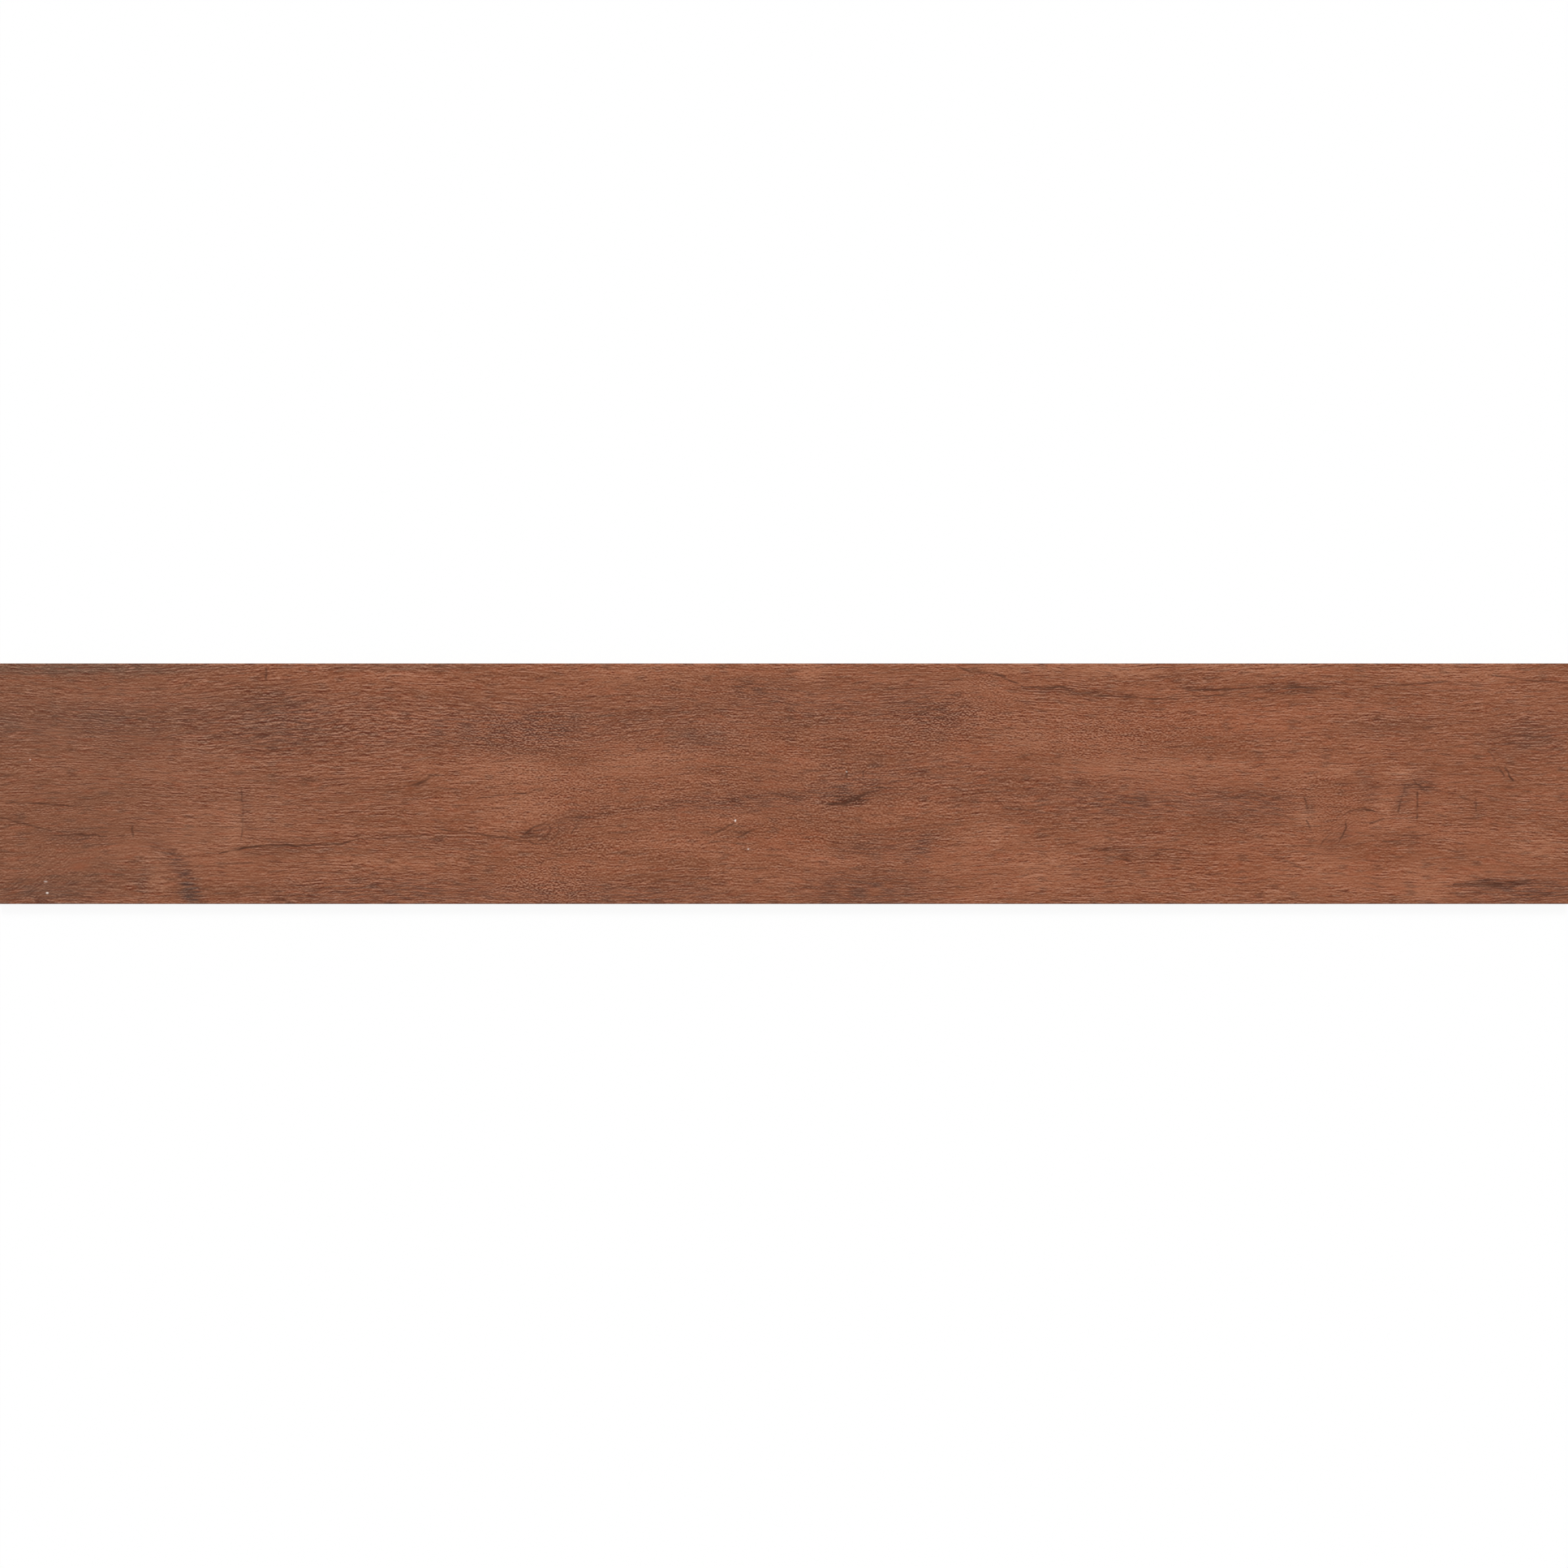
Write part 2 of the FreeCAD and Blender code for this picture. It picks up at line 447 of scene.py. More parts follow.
        FigureMark("calm low right", 1800, 1080, 280, 66, 0, -0.28),
        FigureMark("low edge", 900, 1100, 1000, 50, 0, -0.06),
        FigureMark("smooth patch", 78, 902, 30, 10, 0, -0.3),
        FigureMark("smooth stain", 100, 1068, 20, 12, 0, -0.4),
        FigureMark("smooth right end", 1815, 1040, 26, 14, 0, -0.5),
    ),
    # Short curly grain.
    Figure.CURLY: (
        FigureMark("middle", 930, 975, 560, 200, 0, 0.45),
        FigureMark("right half", 1560, 965, 420, 190, 0, 0.2),
        FigureMark("under the top edge", 840, 836, 360, 40, 0, 0.22),
        FigureMark("low middle", 672, 1090, 110, 50, 0, 0.7),
        FigureMark("over the low middle", 716, 1040, 90, 30, 0, 0.3),
        FigureMark("sapwood", 680, 968, 120, 70, 0, 0.25),
        FigureMark("top bend", 1215, 852, 60, 60, 0, 0.5),
        FigureMark("low left", 80, 1040, 130, 100, 0, 0.35),
        FigureMark("roses", 1640, 985, 70, 60, 0, 0.3),
        FigureMark("cross figure", 640, 900, 130, 46, 0, 0.4),
        FigureMark("cool patch", 1160, 890, 90, 50, 0, 0.35),
        FigureMark("upper right", 1380, 905, 190, 50, 0, 0.35),
    ),
    # Grain that rises to the right, out of the plank's line.
    Figure.RISING: (
        FigureMark("left fan", 62, 1076, 84, 46, 20, 0.8),
        FigureMark("hook", 525, 960, 40, 16, 20, 0.6),
        FigureMark("wedge", 690, 1020, 60, 24, 25, 0.6),
        FigureMark("dashes", 905, 1024, 64, 22, 20, 0.8),
        FigureMark("right fan", 1645, 1028, 50, 32, 30, 0.6),
    ),
}

# Cracks, pin holes and pore lines.
FIGURE_LINES = (
    FigureLine("left line", 2.0, 1.0, ((8, 989), (50, 990), (100, 993))),
    FigureLine("left line, falling", 2.2, 0.9, ((0, 1007), (30, 1014), (64, 1024))),
    FigureLine("left streak", 2.8, 0.8, ((68, 1029), (100, 1028), (132, 1030))),
    FigureLine("left tick", 2.4, 0.6, ((164, 1018), (164, 1031))),
    FigureLine("left dot", 2.6, 0.8, ((172, 886), (181, 886))),
    FigureLine("cross mark", 2.0, 0.4, ((298, 970), (300, 1003))),
    FigureLine("cross mark, foot", 1.8, 0.5, ((300, 1008), (298, 1034))),
    FigureLine("top tick", 2.6, 0.8, ((329, 824), (328, 838))),
    FigureLine("top tick, across", 2.0, 0.6, ((321, 831), (337, 830))),
    FigureLine(
        "crack",
        1.9,
        1.0,
        ((271, 1051), (300, 1045), (334, 1041), (367, 1042), (420, 1040), (447, 1032)),
    ),
    FigureLine("crack, on", 1.7, 0.6, ((447, 1034), (500, 1031), (545, 1026))),
    FigureLine("hook", 3.2, 1.0, ((498, 968), (514, 967), (524, 962), (531, 956), (541, 955))),
    FigureLine("sapwood line", 2.0, 0.8, ((588, 984), (620, 979), (657, 976))),
    FigureLine("line to the wedge", 2.4, 0.6, ((537, 1021), (590, 1028), (640, 1035))),
    FigureLine("wedge", 2.0, 0.65, ((640, 1034), (649, 1026), (659, 1018), (678, 1015))),
    FigureLine("wedge, knot", 3.2, 0.6, ((644, 1032), (656, 1029))),
    FigureLine("wedge, foot", 2.0, 0.7, ((640, 1036), (652, 1037), (667, 1041))),
    FigureLine("wedge, on", 1.8, 0.35, ((684, 1010), (710, 1007), (752, 1001))),
    FigureLine("wedge, curl", 1.6, 0.6, ((664, 1036), (674, 1031), (679, 1022), (677, 1016))),
    FigureLine("wedge, outer curl", 1.6, 0.6, ((672, 1039), (683, 1033), (689, 1024), (689, 1015))),
    FigureLine("wedge, far curl", 1.6, 0.6, ((704, 1027), (711, 1017))),
    FigureLine("dash", 2.4, 0.75, ((872, 1030), (888, 1023), (905, 1014))),
    FigureLine("dash, right", 2.4, 0.75, ((908, 1032), (925, 1024), (940, 1018))),
    FigureLine("dash, low", 1.8, 0.5, ((860, 1041), (890, 1036), (912, 1040))),
    FigureLine("line over the trail", 2.2, 0.7, ((938, 937), (955, 940), (972, 941))),
    FigureLine("pin hole", 2.2, 0.8, ((1043, 950), (1043, 958))),
    FigureLine("pin hole, right", 2.0, 0.6, ((1064, 950), (1064, 957))),
    FigureLine("knot", 4.5, 0.8, ((1022, 991), (1040, 990), (1052, 985), (1070, 976))),
    FigureLine("top bend", 2.4, 0.8, ((1178, 822), (1202, 829), (1222, 829), (1240, 836), (1254, 843))),
    FigureLine("top streak", 2.6, 0.9, ((1258, 846), (1285, 848), (1312, 847))),
    FigureLine(
        "top streak, on",
        2.4,
        0.75,
        ((1313, 850), (1345, 857), (1377, 858), (1420, 861), (1450, 862)),
    ),
    FigureLine("eye, upper streak", 3.0, 0.6, ((1352, 1049), (1364, 1046), (1386, 1043))),
    FigureLine("eye, lower streak", 3.2, 0.6, ((1362, 1053), (1374, 1057), (1394, 1061))),
    FigureLine("eye, right streak", 2.0, 0.5, ((1427, 1046), (1450, 1047), (1473, 1050))),
    FigureLine("long streak, left", 2.0, 0.8, ((1442, 850), (1500, 850), (1545, 848))),
    FigureLine("long streak", 3.2, 0.6, ((1548, 847), (1590, 846), (1628, 850))),
    FigureLine("long streak, under", 1.8, 0.6, ((1452, 859), (1500, 857), (1560, 860))),
    FigureLine("cross mark, upper", 2.2, 0.5, ((1607, 983), (1610, 996))),
    FigureLine("cross mark, lower", 2.2, 0.7, ((1609, 1012), (1615, 1022))),
    FigureLine("right fan, foot", 2.2, 0.5, ((1624, 1046), (1630, 1036), (1638, 1028))),
    FigureLine("right fan, vein", 1.9, 0.6, ((1649, 1038), (1653, 1030), (1658, 1020), (1658, 1010))),
    FigureLine("right fan, arc", 2.0, 0.75, ((1646, 1007), (1665, 999), (1681, 996), (1693, 1000))),
    FigureLine("right fan, slant", 1.8, 0.5, ((1687, 1015), (1703, 1009))),
    FigureLine("right of the fan", 1.8, 0.5, ((1704, 1028), (1735, 1030), (1762, 1028))),
    FigureLine("right of the fan, low", 2.2, 0.6, ((1704, 1036), (1724, 1039))),
    FigureLine("leaf", 2.2, 0.6, ((1552, 1048), (1566, 1054), (1588, 1062), (1606, 1070))),
    FigureLine("top line, right", 2.0, 0.65, ((1690, 846), (1730, 844), (1780, 840), (1815, 842))),
    FigureLine("small knot", 2.6, 0.85, ((1740, 960), (1752, 972), (1764, 966))),
    FigureLine("small knot, crack", 2.2, 0.8, ((1746, 976), (1745, 1008))),
    FigureLine("small knot, left", 2.0, 0.45, ((1730, 970), (1722, 1000))),
    FigureLine("branch", 2.0, 0.7, ((1762, 972), (1790, 977), (1806, 984), (1819, 990))),
    FigureLine("branch, down", 2.0, 0.5, ((1817, 984), (1818, 999))),
    FigureLine("scratch, upper", 2.0, 0.75, ((1833, 926), (1842, 936))),
    FigureLine("scratch", 2.0, 0.75, ((1845, 945), (1852, 956))),
    FigureLine("scratch, right", 2.2, 0.8, ((1854, 946), (1863, 962))),
    FigureLine("top line, right end", 2.2, 0.75, ((1842, 833), (1880, 838), (1932, 842))),
    FigureLine("right patch", 2.0, 0.5, ((1842, 909), (1868, 907), (1900, 908))),
    FigureLine("right patch, lower", 2.0, 0.5, ((1840, 916), (1865, 915))),
    FigureLine("low streak", 3.4, 0.7, ((1790, 1090), (1840, 1089), (1885, 1086))),
)

# Painted glints: pale specks printed where pores would catch the light.
PAINTED_GLINTS = (
    FigureMark("low left", 59, 1100, 2.6, 1.7, 0, 0.9),
    FigureMark("low left, over it", 57, 1086, 3.5, 1.4, 0, 0.45),
    FigureMark("left", 38, 936, 1.6, 1.3, 0, 0.45),
    FigureMark("middle", 906, 1011, 1.7, 2.2, 0, 0.95),
    FigureMark("low middle", 922, 1046, 1.7, 1.5, 0, 0.6),
    FigureMark("on the knot", 1043, 951, 1.7, 1.4, 0, 0.5),
)


@dataclass(frozen=True)
class Fibres:
    """A pattern of fibres of one length along the grain and one width across it.

    The seed moves the pattern, so that no two agree, and the octaves lay finer ones over it.
    """

    length: float
    width: float
    seed: float
    octaves: float = 0.0

    # The seed moves the pattern by unlike steps along and across.
    SEED_ACROSS = 1.7
    FINER_SHARE = 0.6

    def draw(self, tree: Tree, grain: Socket) -> Socket:
        """Draws the fibres.

        Args:
            tree: The tree that they are drawn in.
            grain: Millimetres along and across the grain.

        Returns:
            A value about 0 that is mostly between -0.6 and 0.6.
        """
        stretched = add_node(
            tree,
            "ShaderNodeVectorMath",
            {
                0: grain,
                1: (1 / self.length, 1 / self.width, 0.0),
                2: (self.seed, self.seed * self.SEED_ACROSS, 0.0),
            },
            operation="MULTIPLY_ADD",
        )
        noise = add_node(
            tree,
            "ShaderNodeTexNoise",
            {
                "Vector": stretched.outputs[0],
                "Scale": 1.0,
                "Detail": self.octaves,
                "Roughness": self.FINER_SHARE,
            },
            noise_dimensions="2D",
            normalize=False,
        )
        return noise.outputs[0]


@dataclass(frozen=True)
class WoodGrain:
    """The grain and figure that the press die and the printer share, so that relief and print agree."""

    scale: PhotoScale
    flow: Fibres = Fibres(240.0, 110.0, seed=3.1)
    flow_shift: float = 9.0
    ripple: Fibres = Fibres(34.0, 16.0, seed=47.7)
    ripple_shift: float = 1.4
    pores: Fibres = Fibres(40.0, 2.0, seed=11.3)
    pore_starts: float = 0.1
    pore_full: float = 0.6
    calm_share: float = 0.77
    fray_along: Fibres = Fibres(40.0, 2.2, seed=83.9)
    fray_across: Fibres = Fibres(16.0, 5.0, seed=97.3)
    fray_reach: tuple[float, float, float] = (14.0, 2.4, 0.0)
    wobble: Fibres = Fibres(9.0, 6.0, seed=29.3)
    wobble_reach: float = 0.9
    fading: Fibres = Fibres(13.0, 8.0, seed=59.3)
    fading_gain: float = 0.7
    fading_middle: float = 0.85

    # The name of the attribute that holds millimetres along and across the grain.
    ATTRIBUTE = "grain"
    # The ink is whole inside this share of a mark's half sizes, and falls off from there.
    MARK_CORE = 0.15

    def mark_group(self, tree_kind: str, join: str) -> Tree:
        """Makes the group that draws one mark over those before it, once for each kind of tree.

        Args:
            tree_kind: The type name of the tree that the group is for.
            join: The operation that joins the mark to those before it.

        Returns:
            The group.
        """
        name = f"figure_mark_{join}_{tree_kind}"
        if name in bpy.data.node_groups:
            return bpy.data.node_groups[name]
        vectors, values = ("Face", "Middle", "Per half size"), ("Angle", "Peak", "Before")
        group = new_group(name, tree_kind, vectors, values)
        given = add_node(group, "NodeGroupInput").outputs
        feeds = {"Vector": given["Face"], "Center": given["Middle"], "Angle": given["Angle"]}
        turned = add_node(group, "ShaderNodeVectorRotate", feeds, rotation_type="Z_AXIS")
        feeds = {0: turned.outputs[0], 1: given["Middle"]}
        from_middle = add_node(group, "ShaderNodeVectorMath", feeds, operation="SUBTRACT")
        feeds = {0: from_middle.outputs[0], 1: given["Per half size"]}
        in_mark = add_node(group, "ShaderNodeVectorMath", feeds, operation="MULTIPLY")
        reach = add_node(group, "ShaderNodeVectorMath", {0: in_mark.outputs[0]}, operation="LENGTH")
        self.join_ink(group, given, reach.outputs["Value"], join)
        return group

    def join_ink(self, group: Tree, given: bpy.types.NodeOutputs, reach: Socket, join: str) -> None:
        """Ends a group: inks what it draws and joins that to what was drawn before.

        Args:
            group: The group.
            given: Its inputs.
            reach: From 0 at the middle of what is drawn to 1 at its rim.
            join: The operation that joins the two.
        """
        # The smooth step stays within its ends by itself. A clamp in each of so many groups would
        # take more memory than a shader has.
        ink = add_node(
            group,
            "ShaderNodeMapRange",
            {0: reach, 1: 1.0, 2: self.MARK_CORE, 3: 0.0, 4: given["Peak"]},
            interpolation_type="SMOOTHSTEP",
            clamp=False,
        )
        feeds = {0: given["Before"], 1: ink.outputs[0]}
        joined = add_node(group, "ShaderNodeMath", feeds, operation=join)
        add_node(group, "NodeGroupOutput", {0: joined.outputs[0]})

    def marks(self, tree: Tree, face: Socket, marks: tuple[FigureMark, ...], join: str) -> Socket:
        """Draws several marks of one kind, each of which falls smoothly to 0 at its rim.

        Args:
            tree: The tree that they are drawn in.
            face: Millimetres along and across the face.
            marks: The marks.
            join: The operation that joins one mark to the next.

        Returns:
            Their joined value, which is 0 away from every mark.
        """
        group = self.mark_group(tree.bl_idname, join)
        drawn = 0.0
        for mark in marks:
            halves = (half * self.scale.mm_per_px for half in (mark.half_long_px, mark.half_wide_px))
            feeds = {
                "Face": face,
                "Middle": self.scale.place(mark.x_px, mark.y_px),
                "Per half size": (*(1 / half for half in halves), 0.0),
                "Angle": -math.radians(mark.tilt_deg),
                "Peak": mark.strength,
                "Before": drawn,
            }
            drawn = add_group(tree, group, feeds)
        return drawn

    def lines(self, tree: Tree, face: Socket) -> Socket:
        """Draws the thin dark lines, a little unsteady as cracks are.

        Args:
            tree: The tree that they are drawn in.
            face: Millimetres along and across the face.

        Returns:
            The share of a line at each place.
        """
        feeds = {0: (self.wobble_reach, self.wobble_reach, 0.0), "Scale": self.wobble.draw(tree, face)}
        shift = add_node(tree, "ShaderNodeVectorMath", feeds, operation="SCALE")
        # The lines lie flat, whatever the height of the place.
        feeds = {0: face, 1: (1.0, 1.0, 0.0), 2: shift.outputs[0]}
        unsteady = add_node(tree, "ShaderNodeVectorMath", feeds, operation="MULTIPLY_ADD")
        group = self.run_group(tree.bl_idname)
        drawn = 0.0
        for line in FIGURE_LINES:
            places = [Vector(self.scale.place(*point)) for point in line.points_px]
            halves = [half * self.scale.mm_per_px for half in line.half_widths_px()]
            for i, (start, end) in enumerate(zip(places, places[1:])):
                feeds = {
                    "Face": unsteady.outputs[0],
                    "Start": start,
                    "Run": end - start,
                    "Half width at start": halves[i],
                    "Half width gained": halves[i + 1] - halves[i],
                    "Peak": line.strength,
                    "Before": drawn,
                }
                drawn = add_group(tree, group, feeds)
        feeds = {0: self.fading.draw(tree, face), 1: self.fading_gain, 2: self.fading_middle}
        left = add_node(tree, "ShaderNodeMath", feeds, operation="MULTIPLY_ADD")
        feeds = {0: drawn, 1: left.outputs[0]}
        return add_node(tree, "ShaderNodeMath", feeds, operation="MULTIPLY").outputs[0]

    def run_group(self, tree_kind: str) -> Tree:
        """Makes the group that draws one straight run of a line over those before it.

        Args:
            tree_kind: The type name of the tree that the group is for.

        Returns:
            The group, which is made once for each kind of tree.
        """
        name = f"line_run_{tree_kind}"
        if name in bpy.data.node_groups:
            return bpy.data.node_groups[name]
        values = ("Half width at start", "Half width gained", "Peak", "Before")
        group = new_group(name, tree_kind, ("Face", "Start", "Run"), values)
        given = add_node(group, "NodeGroupInput").outputs

        # How far along the run the nearest point of it lies, from 0 at its start to 1 at its end.
        feeds = {0: given["Face"], 1: given["Start"]}
        from_start = add_node(group, "ShaderNodeVectorMath", feeds, operation="SUBTRACT").outputs[0]
        feeds = {0: from_start, 1: given["Run"]}
        reached = add_node(group, "ShaderNodeVectorMath", feeds, operation="DOT_PRODUCT").outputs["Value"]
        feeds = {0: given["Run"], 1: given["Run"]}
        squared = add_node(group, "ShaderNodeVectorMath", feeds, operation="DOT_PRODUCT").outputs["Value"]
        along = add_node(group, "ShaderNodeMath", {0: reached, 1: squared}, operation="DIVIDE").outputs[0]
        for limit, operation in ((0.0, "MAXIMUM"), (1.0, "MINIMUM")):
            along = add_node(group, "ShaderNodeMath", {0: along, 1: limit}, operation=operation).outputs[0]

        feeds = {0: given["Run"], "Scale": along}
        nearest = add_node(group, "ShaderNodeVectorMath", feeds, operation="SCALE").outputs[0]
        feeds = {0: from_start, 1: nearest}
        away = add_node(group, "ShaderNodeVectorMath", feeds, operation="DISTANCE").outputs["Value"]
        feeds = {0: along, 1: given["Half width gained"], 2: given["Half width at start"]}
        half_width = add_node(group, "ShaderNodeMath", feeds, operation="MULTIPLY_ADD").outputs[0]
        reach = add_node(group, "ShaderNodeMath", {0: away, 1: half_width}, operation="DIVIDE").outputs[0]
        self.join_ink(group, given, reach, "MAXIMUM")
        return group

    def along_grain(self, tree: Tree, face: Socket) -> Socket:
        """Follows the slow bends and the ripples of the grain.

        Args:
            tree: The tree that the face's millimetres are in.
            face: Millimetres along and across the face.

        Returns:
            Millimetres along and across the grain.
        """
        grain = face
        for fibres, shift in ((self.flow, self.flow_shift), (self.ripple, self.ripple_shift)):
            feeds = {0: (0.0, shift, 0.0), "Scale": fibres.draw(tree, face)}
            bend = add_node(tree, "ShaderNodeVectorMath", feeds, operation="SCALE")
            feeds = {0: grain, 1: bend.outputs[0]}
            grain = add_node(tree, "ShaderNodeVectorMath", feeds, operation="ADD").outputs[0]
        return grain

    def frayed(self, tree: Tree, face: Socket, grain: Socket) -> Socket:
        """Frays the outlines of the figure's marks along the fibres.

        Args:
            tree: The tree that the marks are drawn in.
            face: Millimetres along and across the face.
            grain: Millimetres along and across the grain.

        Returns:
            Millimetres along and across the face, shifted fibre by fibre.
        """
        feeds = {0: self.fray_along.draw(tree, grain), 1: self.fray_across.draw(tree, grain)}
        shift = add_node(tree, "ShaderNodeCombineXYZ", feeds)
        shifted = add_node(
            tree,
            "ShaderNodeVectorMath",
            {0: shift.outputs[0], 1: self.fray_reach, 2: face},
            operation="MULTIPLY_ADD",
        )
        return shifted.outputs[0]

    def pore_depth(self, tree: Tree, grain: Socket, rough: Socket) -> Socket:
        """Finds the pressed pores, which are wide enough to be modelled.

        Args:
            tree: The tree that the grain is in.
            grain: Millimetres along and across the grain.
            rough: How much the strokes stand out.

        Returns:
            From 0 on the plank's face to about 1 at the bottom of a pore.
        """
        pore = add_node(
            tree,
            "ShaderNodeMapRange",
            {0: self.pores.draw(tree, grain), 1: self.pore_starts, 2: self.pore_full, 3: 0.0, 4: 1.0},
            interpolation_type="SMOOTHSTEP",
        )
        return self.roughened(tree, pore.outputs[0], rough)

    def roughened(self, tree: Tree, value: Socket, rough: Socket) -> Socket:
        """Makes strokes stand out where the figure says so.

        Args:
            tree: The tree that they are in.
            value: The strokes' value.
            rough: How much they stand out.

        Returns:
            The value, stronger or calmer.
        """
        gain = add_node(tree, "ShaderNodeMath", {0: rough, 1: self.calm_share}, operation="ADD")
        feeds = {0: value, 1: gain.outputs[0]}
        return add_node(tree, "ShaderNodeMath", feeds, operation="MULTIPLY").outputs[0]


@dataclass(frozen=True)
class Flecks:
    """Scattered flecks of one ink, where a pattern of fibres rises above a level."""

    fibres: Fibres
    starts: float
    full: float
    share: float
    ink: str

    def draw(self, tree: Tree, grain: Socket) -> Socket:
        """Draws the flecks.

        Args:
            tree: The material's tree.
            grain: Millimetres along and across the grain.

        Returns:
            The share of their ink.
        """
        feeds = {0: self.fibres.draw(tree, grain), 1: self.starts, 2: self.full, 3: 0.0, 4: self.share}
        return add_node(tree, "ShaderNodeMapRange", feeds, interpolation_type="SMOOTHSTEP").outputs[0]


@dataclass(frozen=True)
class WoodPrintGlaze:
    """Matt glaze over an ink-jet print of reddish brown wood.

    A fired matt glaze scatters a broad, faint gloss. The print under it has broad bands, fibres
    and short strokes along the plank. The pressed strokes catch the light on one side, and the
    print also paints a highlight on that side of each stroke and shade on the other.
    """

    wood: WoodGrain
    base_inks: tuple[tuple[float, str], ...] = ((0.0, "#75462d"), (0.5, "#8d563b"), (1.0, "#a5674a"))
    # Dark heartwood ink, for the dusky figure and the lines, and for the painted shade on the bevel.
    dusk_and_bevel_shade_ink: str = "#502d1d"
    veil_ink: str = "#4e3830"
    ash_ink: str = "#664e3f"
    gleam_ink: str = "#a66c4f"
    stain_ink: str = "#9a5536"
    # Painted shade on the strokes, which also darkens the pressed pores, and a painted highlight on them.
    painted_shade_and_pore_ink: str = "#551800"
    painted_highlight_ink: str = "#cc9b82"
    # The ink of the painted glints.
    painted_glint_ink: str = "#f4e6dc"
    bands: Fibres = Fibres(150.0, 26.0, seed=57.1, octaves=1.0)
    band_gain: float = 0.25
    veins: Fibres = Fibres(70.0, 5.0, seed=71.3, octaves=1.0)
    vein_gain: float = 0.15
    breaks: Fibres = Fibres(15.0, 1.7, seed=63.7)
    break_level: float = 0.4
    broken_least: float = 0.2
    broken_most: float = 1.8
    rust_flecks: Flecks = Flecks(Fibres(22.0, 2.4, seed=77.9), 0.1, 0.6, 0.16, "#a24a2a")
    smudges: Flecks = Flecks(Fibres(16.0, 2.8, seed=87.1), 0.12, 0.65, 0.36, "#4a372c")
    # A stroke narrower than about 1 mm wouldn't show, so none is drawn finer than that.
    stroke_layers: tuple[tuple[Fibres, float], ...] = (
        (Fibres(60.0, 1.2, seed=23.7), 0.5),
        (Fibres(14.0, 1.2, seed=29.1), 0.85),
        (Fibres(5.0, 1.15, seed=35.1), 0.75),
        (Fibres(2.0, 1.1, seed=41.9), 0.7),
    )
    rising_layers: tuple[tuple[Fibres, float], ...] = (
        (Fibres(16.0, 1.5, seed=53.3), 0.9),
        (Fibres(4.0, 1.4, seed=67.9), 0.7),
    )
    rising_deg: float = 32.0
    curl_layers: tuple[tuple[Fibres, float], ...] = (
        (Fibres(5.0, 1.5, seed=19.9), 0.5),
        (Fibres(2.1, 1.4, seed=73.1), 2.4),
    )
    emboss_step: float = 1.1
    emboss_share: float = 0.42
    patches: Fibres = Fibres(50.0, 11.0, seed=91.7, octaves=1.0)
    patch_gain: float = 0.25
    # How strongly the painted shade and the painted highlight are laid on the strokes.
    painted_shade_gain: float = 0.86
    painted_highlight_gain: float = 0.5
    # The share of painted shade over the bevel, which darkens it from the face towards its foot.
    bevel_painted_shade_gain: float = 0.5
    pore_gain: float = 0.12
    line_gain: float = 0.9
    stroke_height: float = 0.06
    ior: float = 1.5
    gloss_level: float = 0.15
    smooth_roughness: float = 0.5
    pore_roughness: float = 0.62

    def material(self, name: str) -> bpy.types.Material:
        """Makes the material.

        Args:
            name: The material's name.

        Returns:
            The glazed print, which reads the figure's attributes and the plank's own coordinates.
        """
        material, tree, shader = new_material(name)
        grain = self.attribute(tree, WoodGrain.ATTRIBUTE).outputs["Vector"]
        figure = {kind: self.attribute(tree, kind.value).outputs["Fac"] for kind in Figure}
        strokes = self.strokes(tree, grain, figure)
        pores = self.wood.pore_depth(tree, grain, figure[Figure.ROUGH])
        colour = self.print_colour(tree, grain, figure, strokes, pores)
        tree.links.new(colour, shader.inputs["Base Color"])
        feeds = {"Height": strokes, "Distance": self.stroke_height * METRES_PER_MM, "Strength": 1.0}
        tree.links.new(add_node(tree, "ShaderNodeBump", feeds).outputs[0], shader.inputs["Normal"])
        feeds = {0: pores, 3: self.smooth_roughness, 4: self.pore_roughness}
        tree.links.new(add_node(tree, "ShaderNodeMapRange", feeds).outputs[0], shader.inputs["Roughness"])
        shader.inputs["IOR"].default_value = self.ior
        shader.inputs["Specular IOR Level"].default_value = self.gloss_level
        return material

    def attribute(self, tree: Tree, name: str) -> bpy.types.Node:
        """Reads one of the plank's own attributes."""
        return add_node(tree, "ShaderNodeAttribute", attribute_name=name)

    def strokes(self, tree: Tree, grain: Socket, figure: dict[Figure, Socket]) -> Socket:
        """Draws the short strokes that are too fine to be modelled.

        Args:
            tree: The material's tree.
            grain: Millimetres along and across the grain.
            figure: The figure's values.

        Returns:
            Their height as a share of the stroke height.
        """
        feeds = {0: grain, 1: (0.0, self.emboss_step, 0.0)}
        above = add_node(tree, "ShaderNodeVectorMath", feeds, operation="ADD")
        here, there = (self.relief(tree, place, figure) for place in (grain, above.outputs[0]))
        feeds = {0: there, 1: -self.emboss_share, 2: here}
        embossed = add_node(tree, "ShaderNodeMath", feeds, operation="MULTIPLY_ADD")
        feeds = {0: self.patches.draw(tree, grain), 1: self.patch_gain, 2: figure[Figure.ROUGH]}
        patchy = add_node(tree, "ShaderNodeMath", feeds, operation="MULTIPLY_ADD")
        return self.wood.roughened(tree, embossed.outputs[0], patchy.outputs[0])

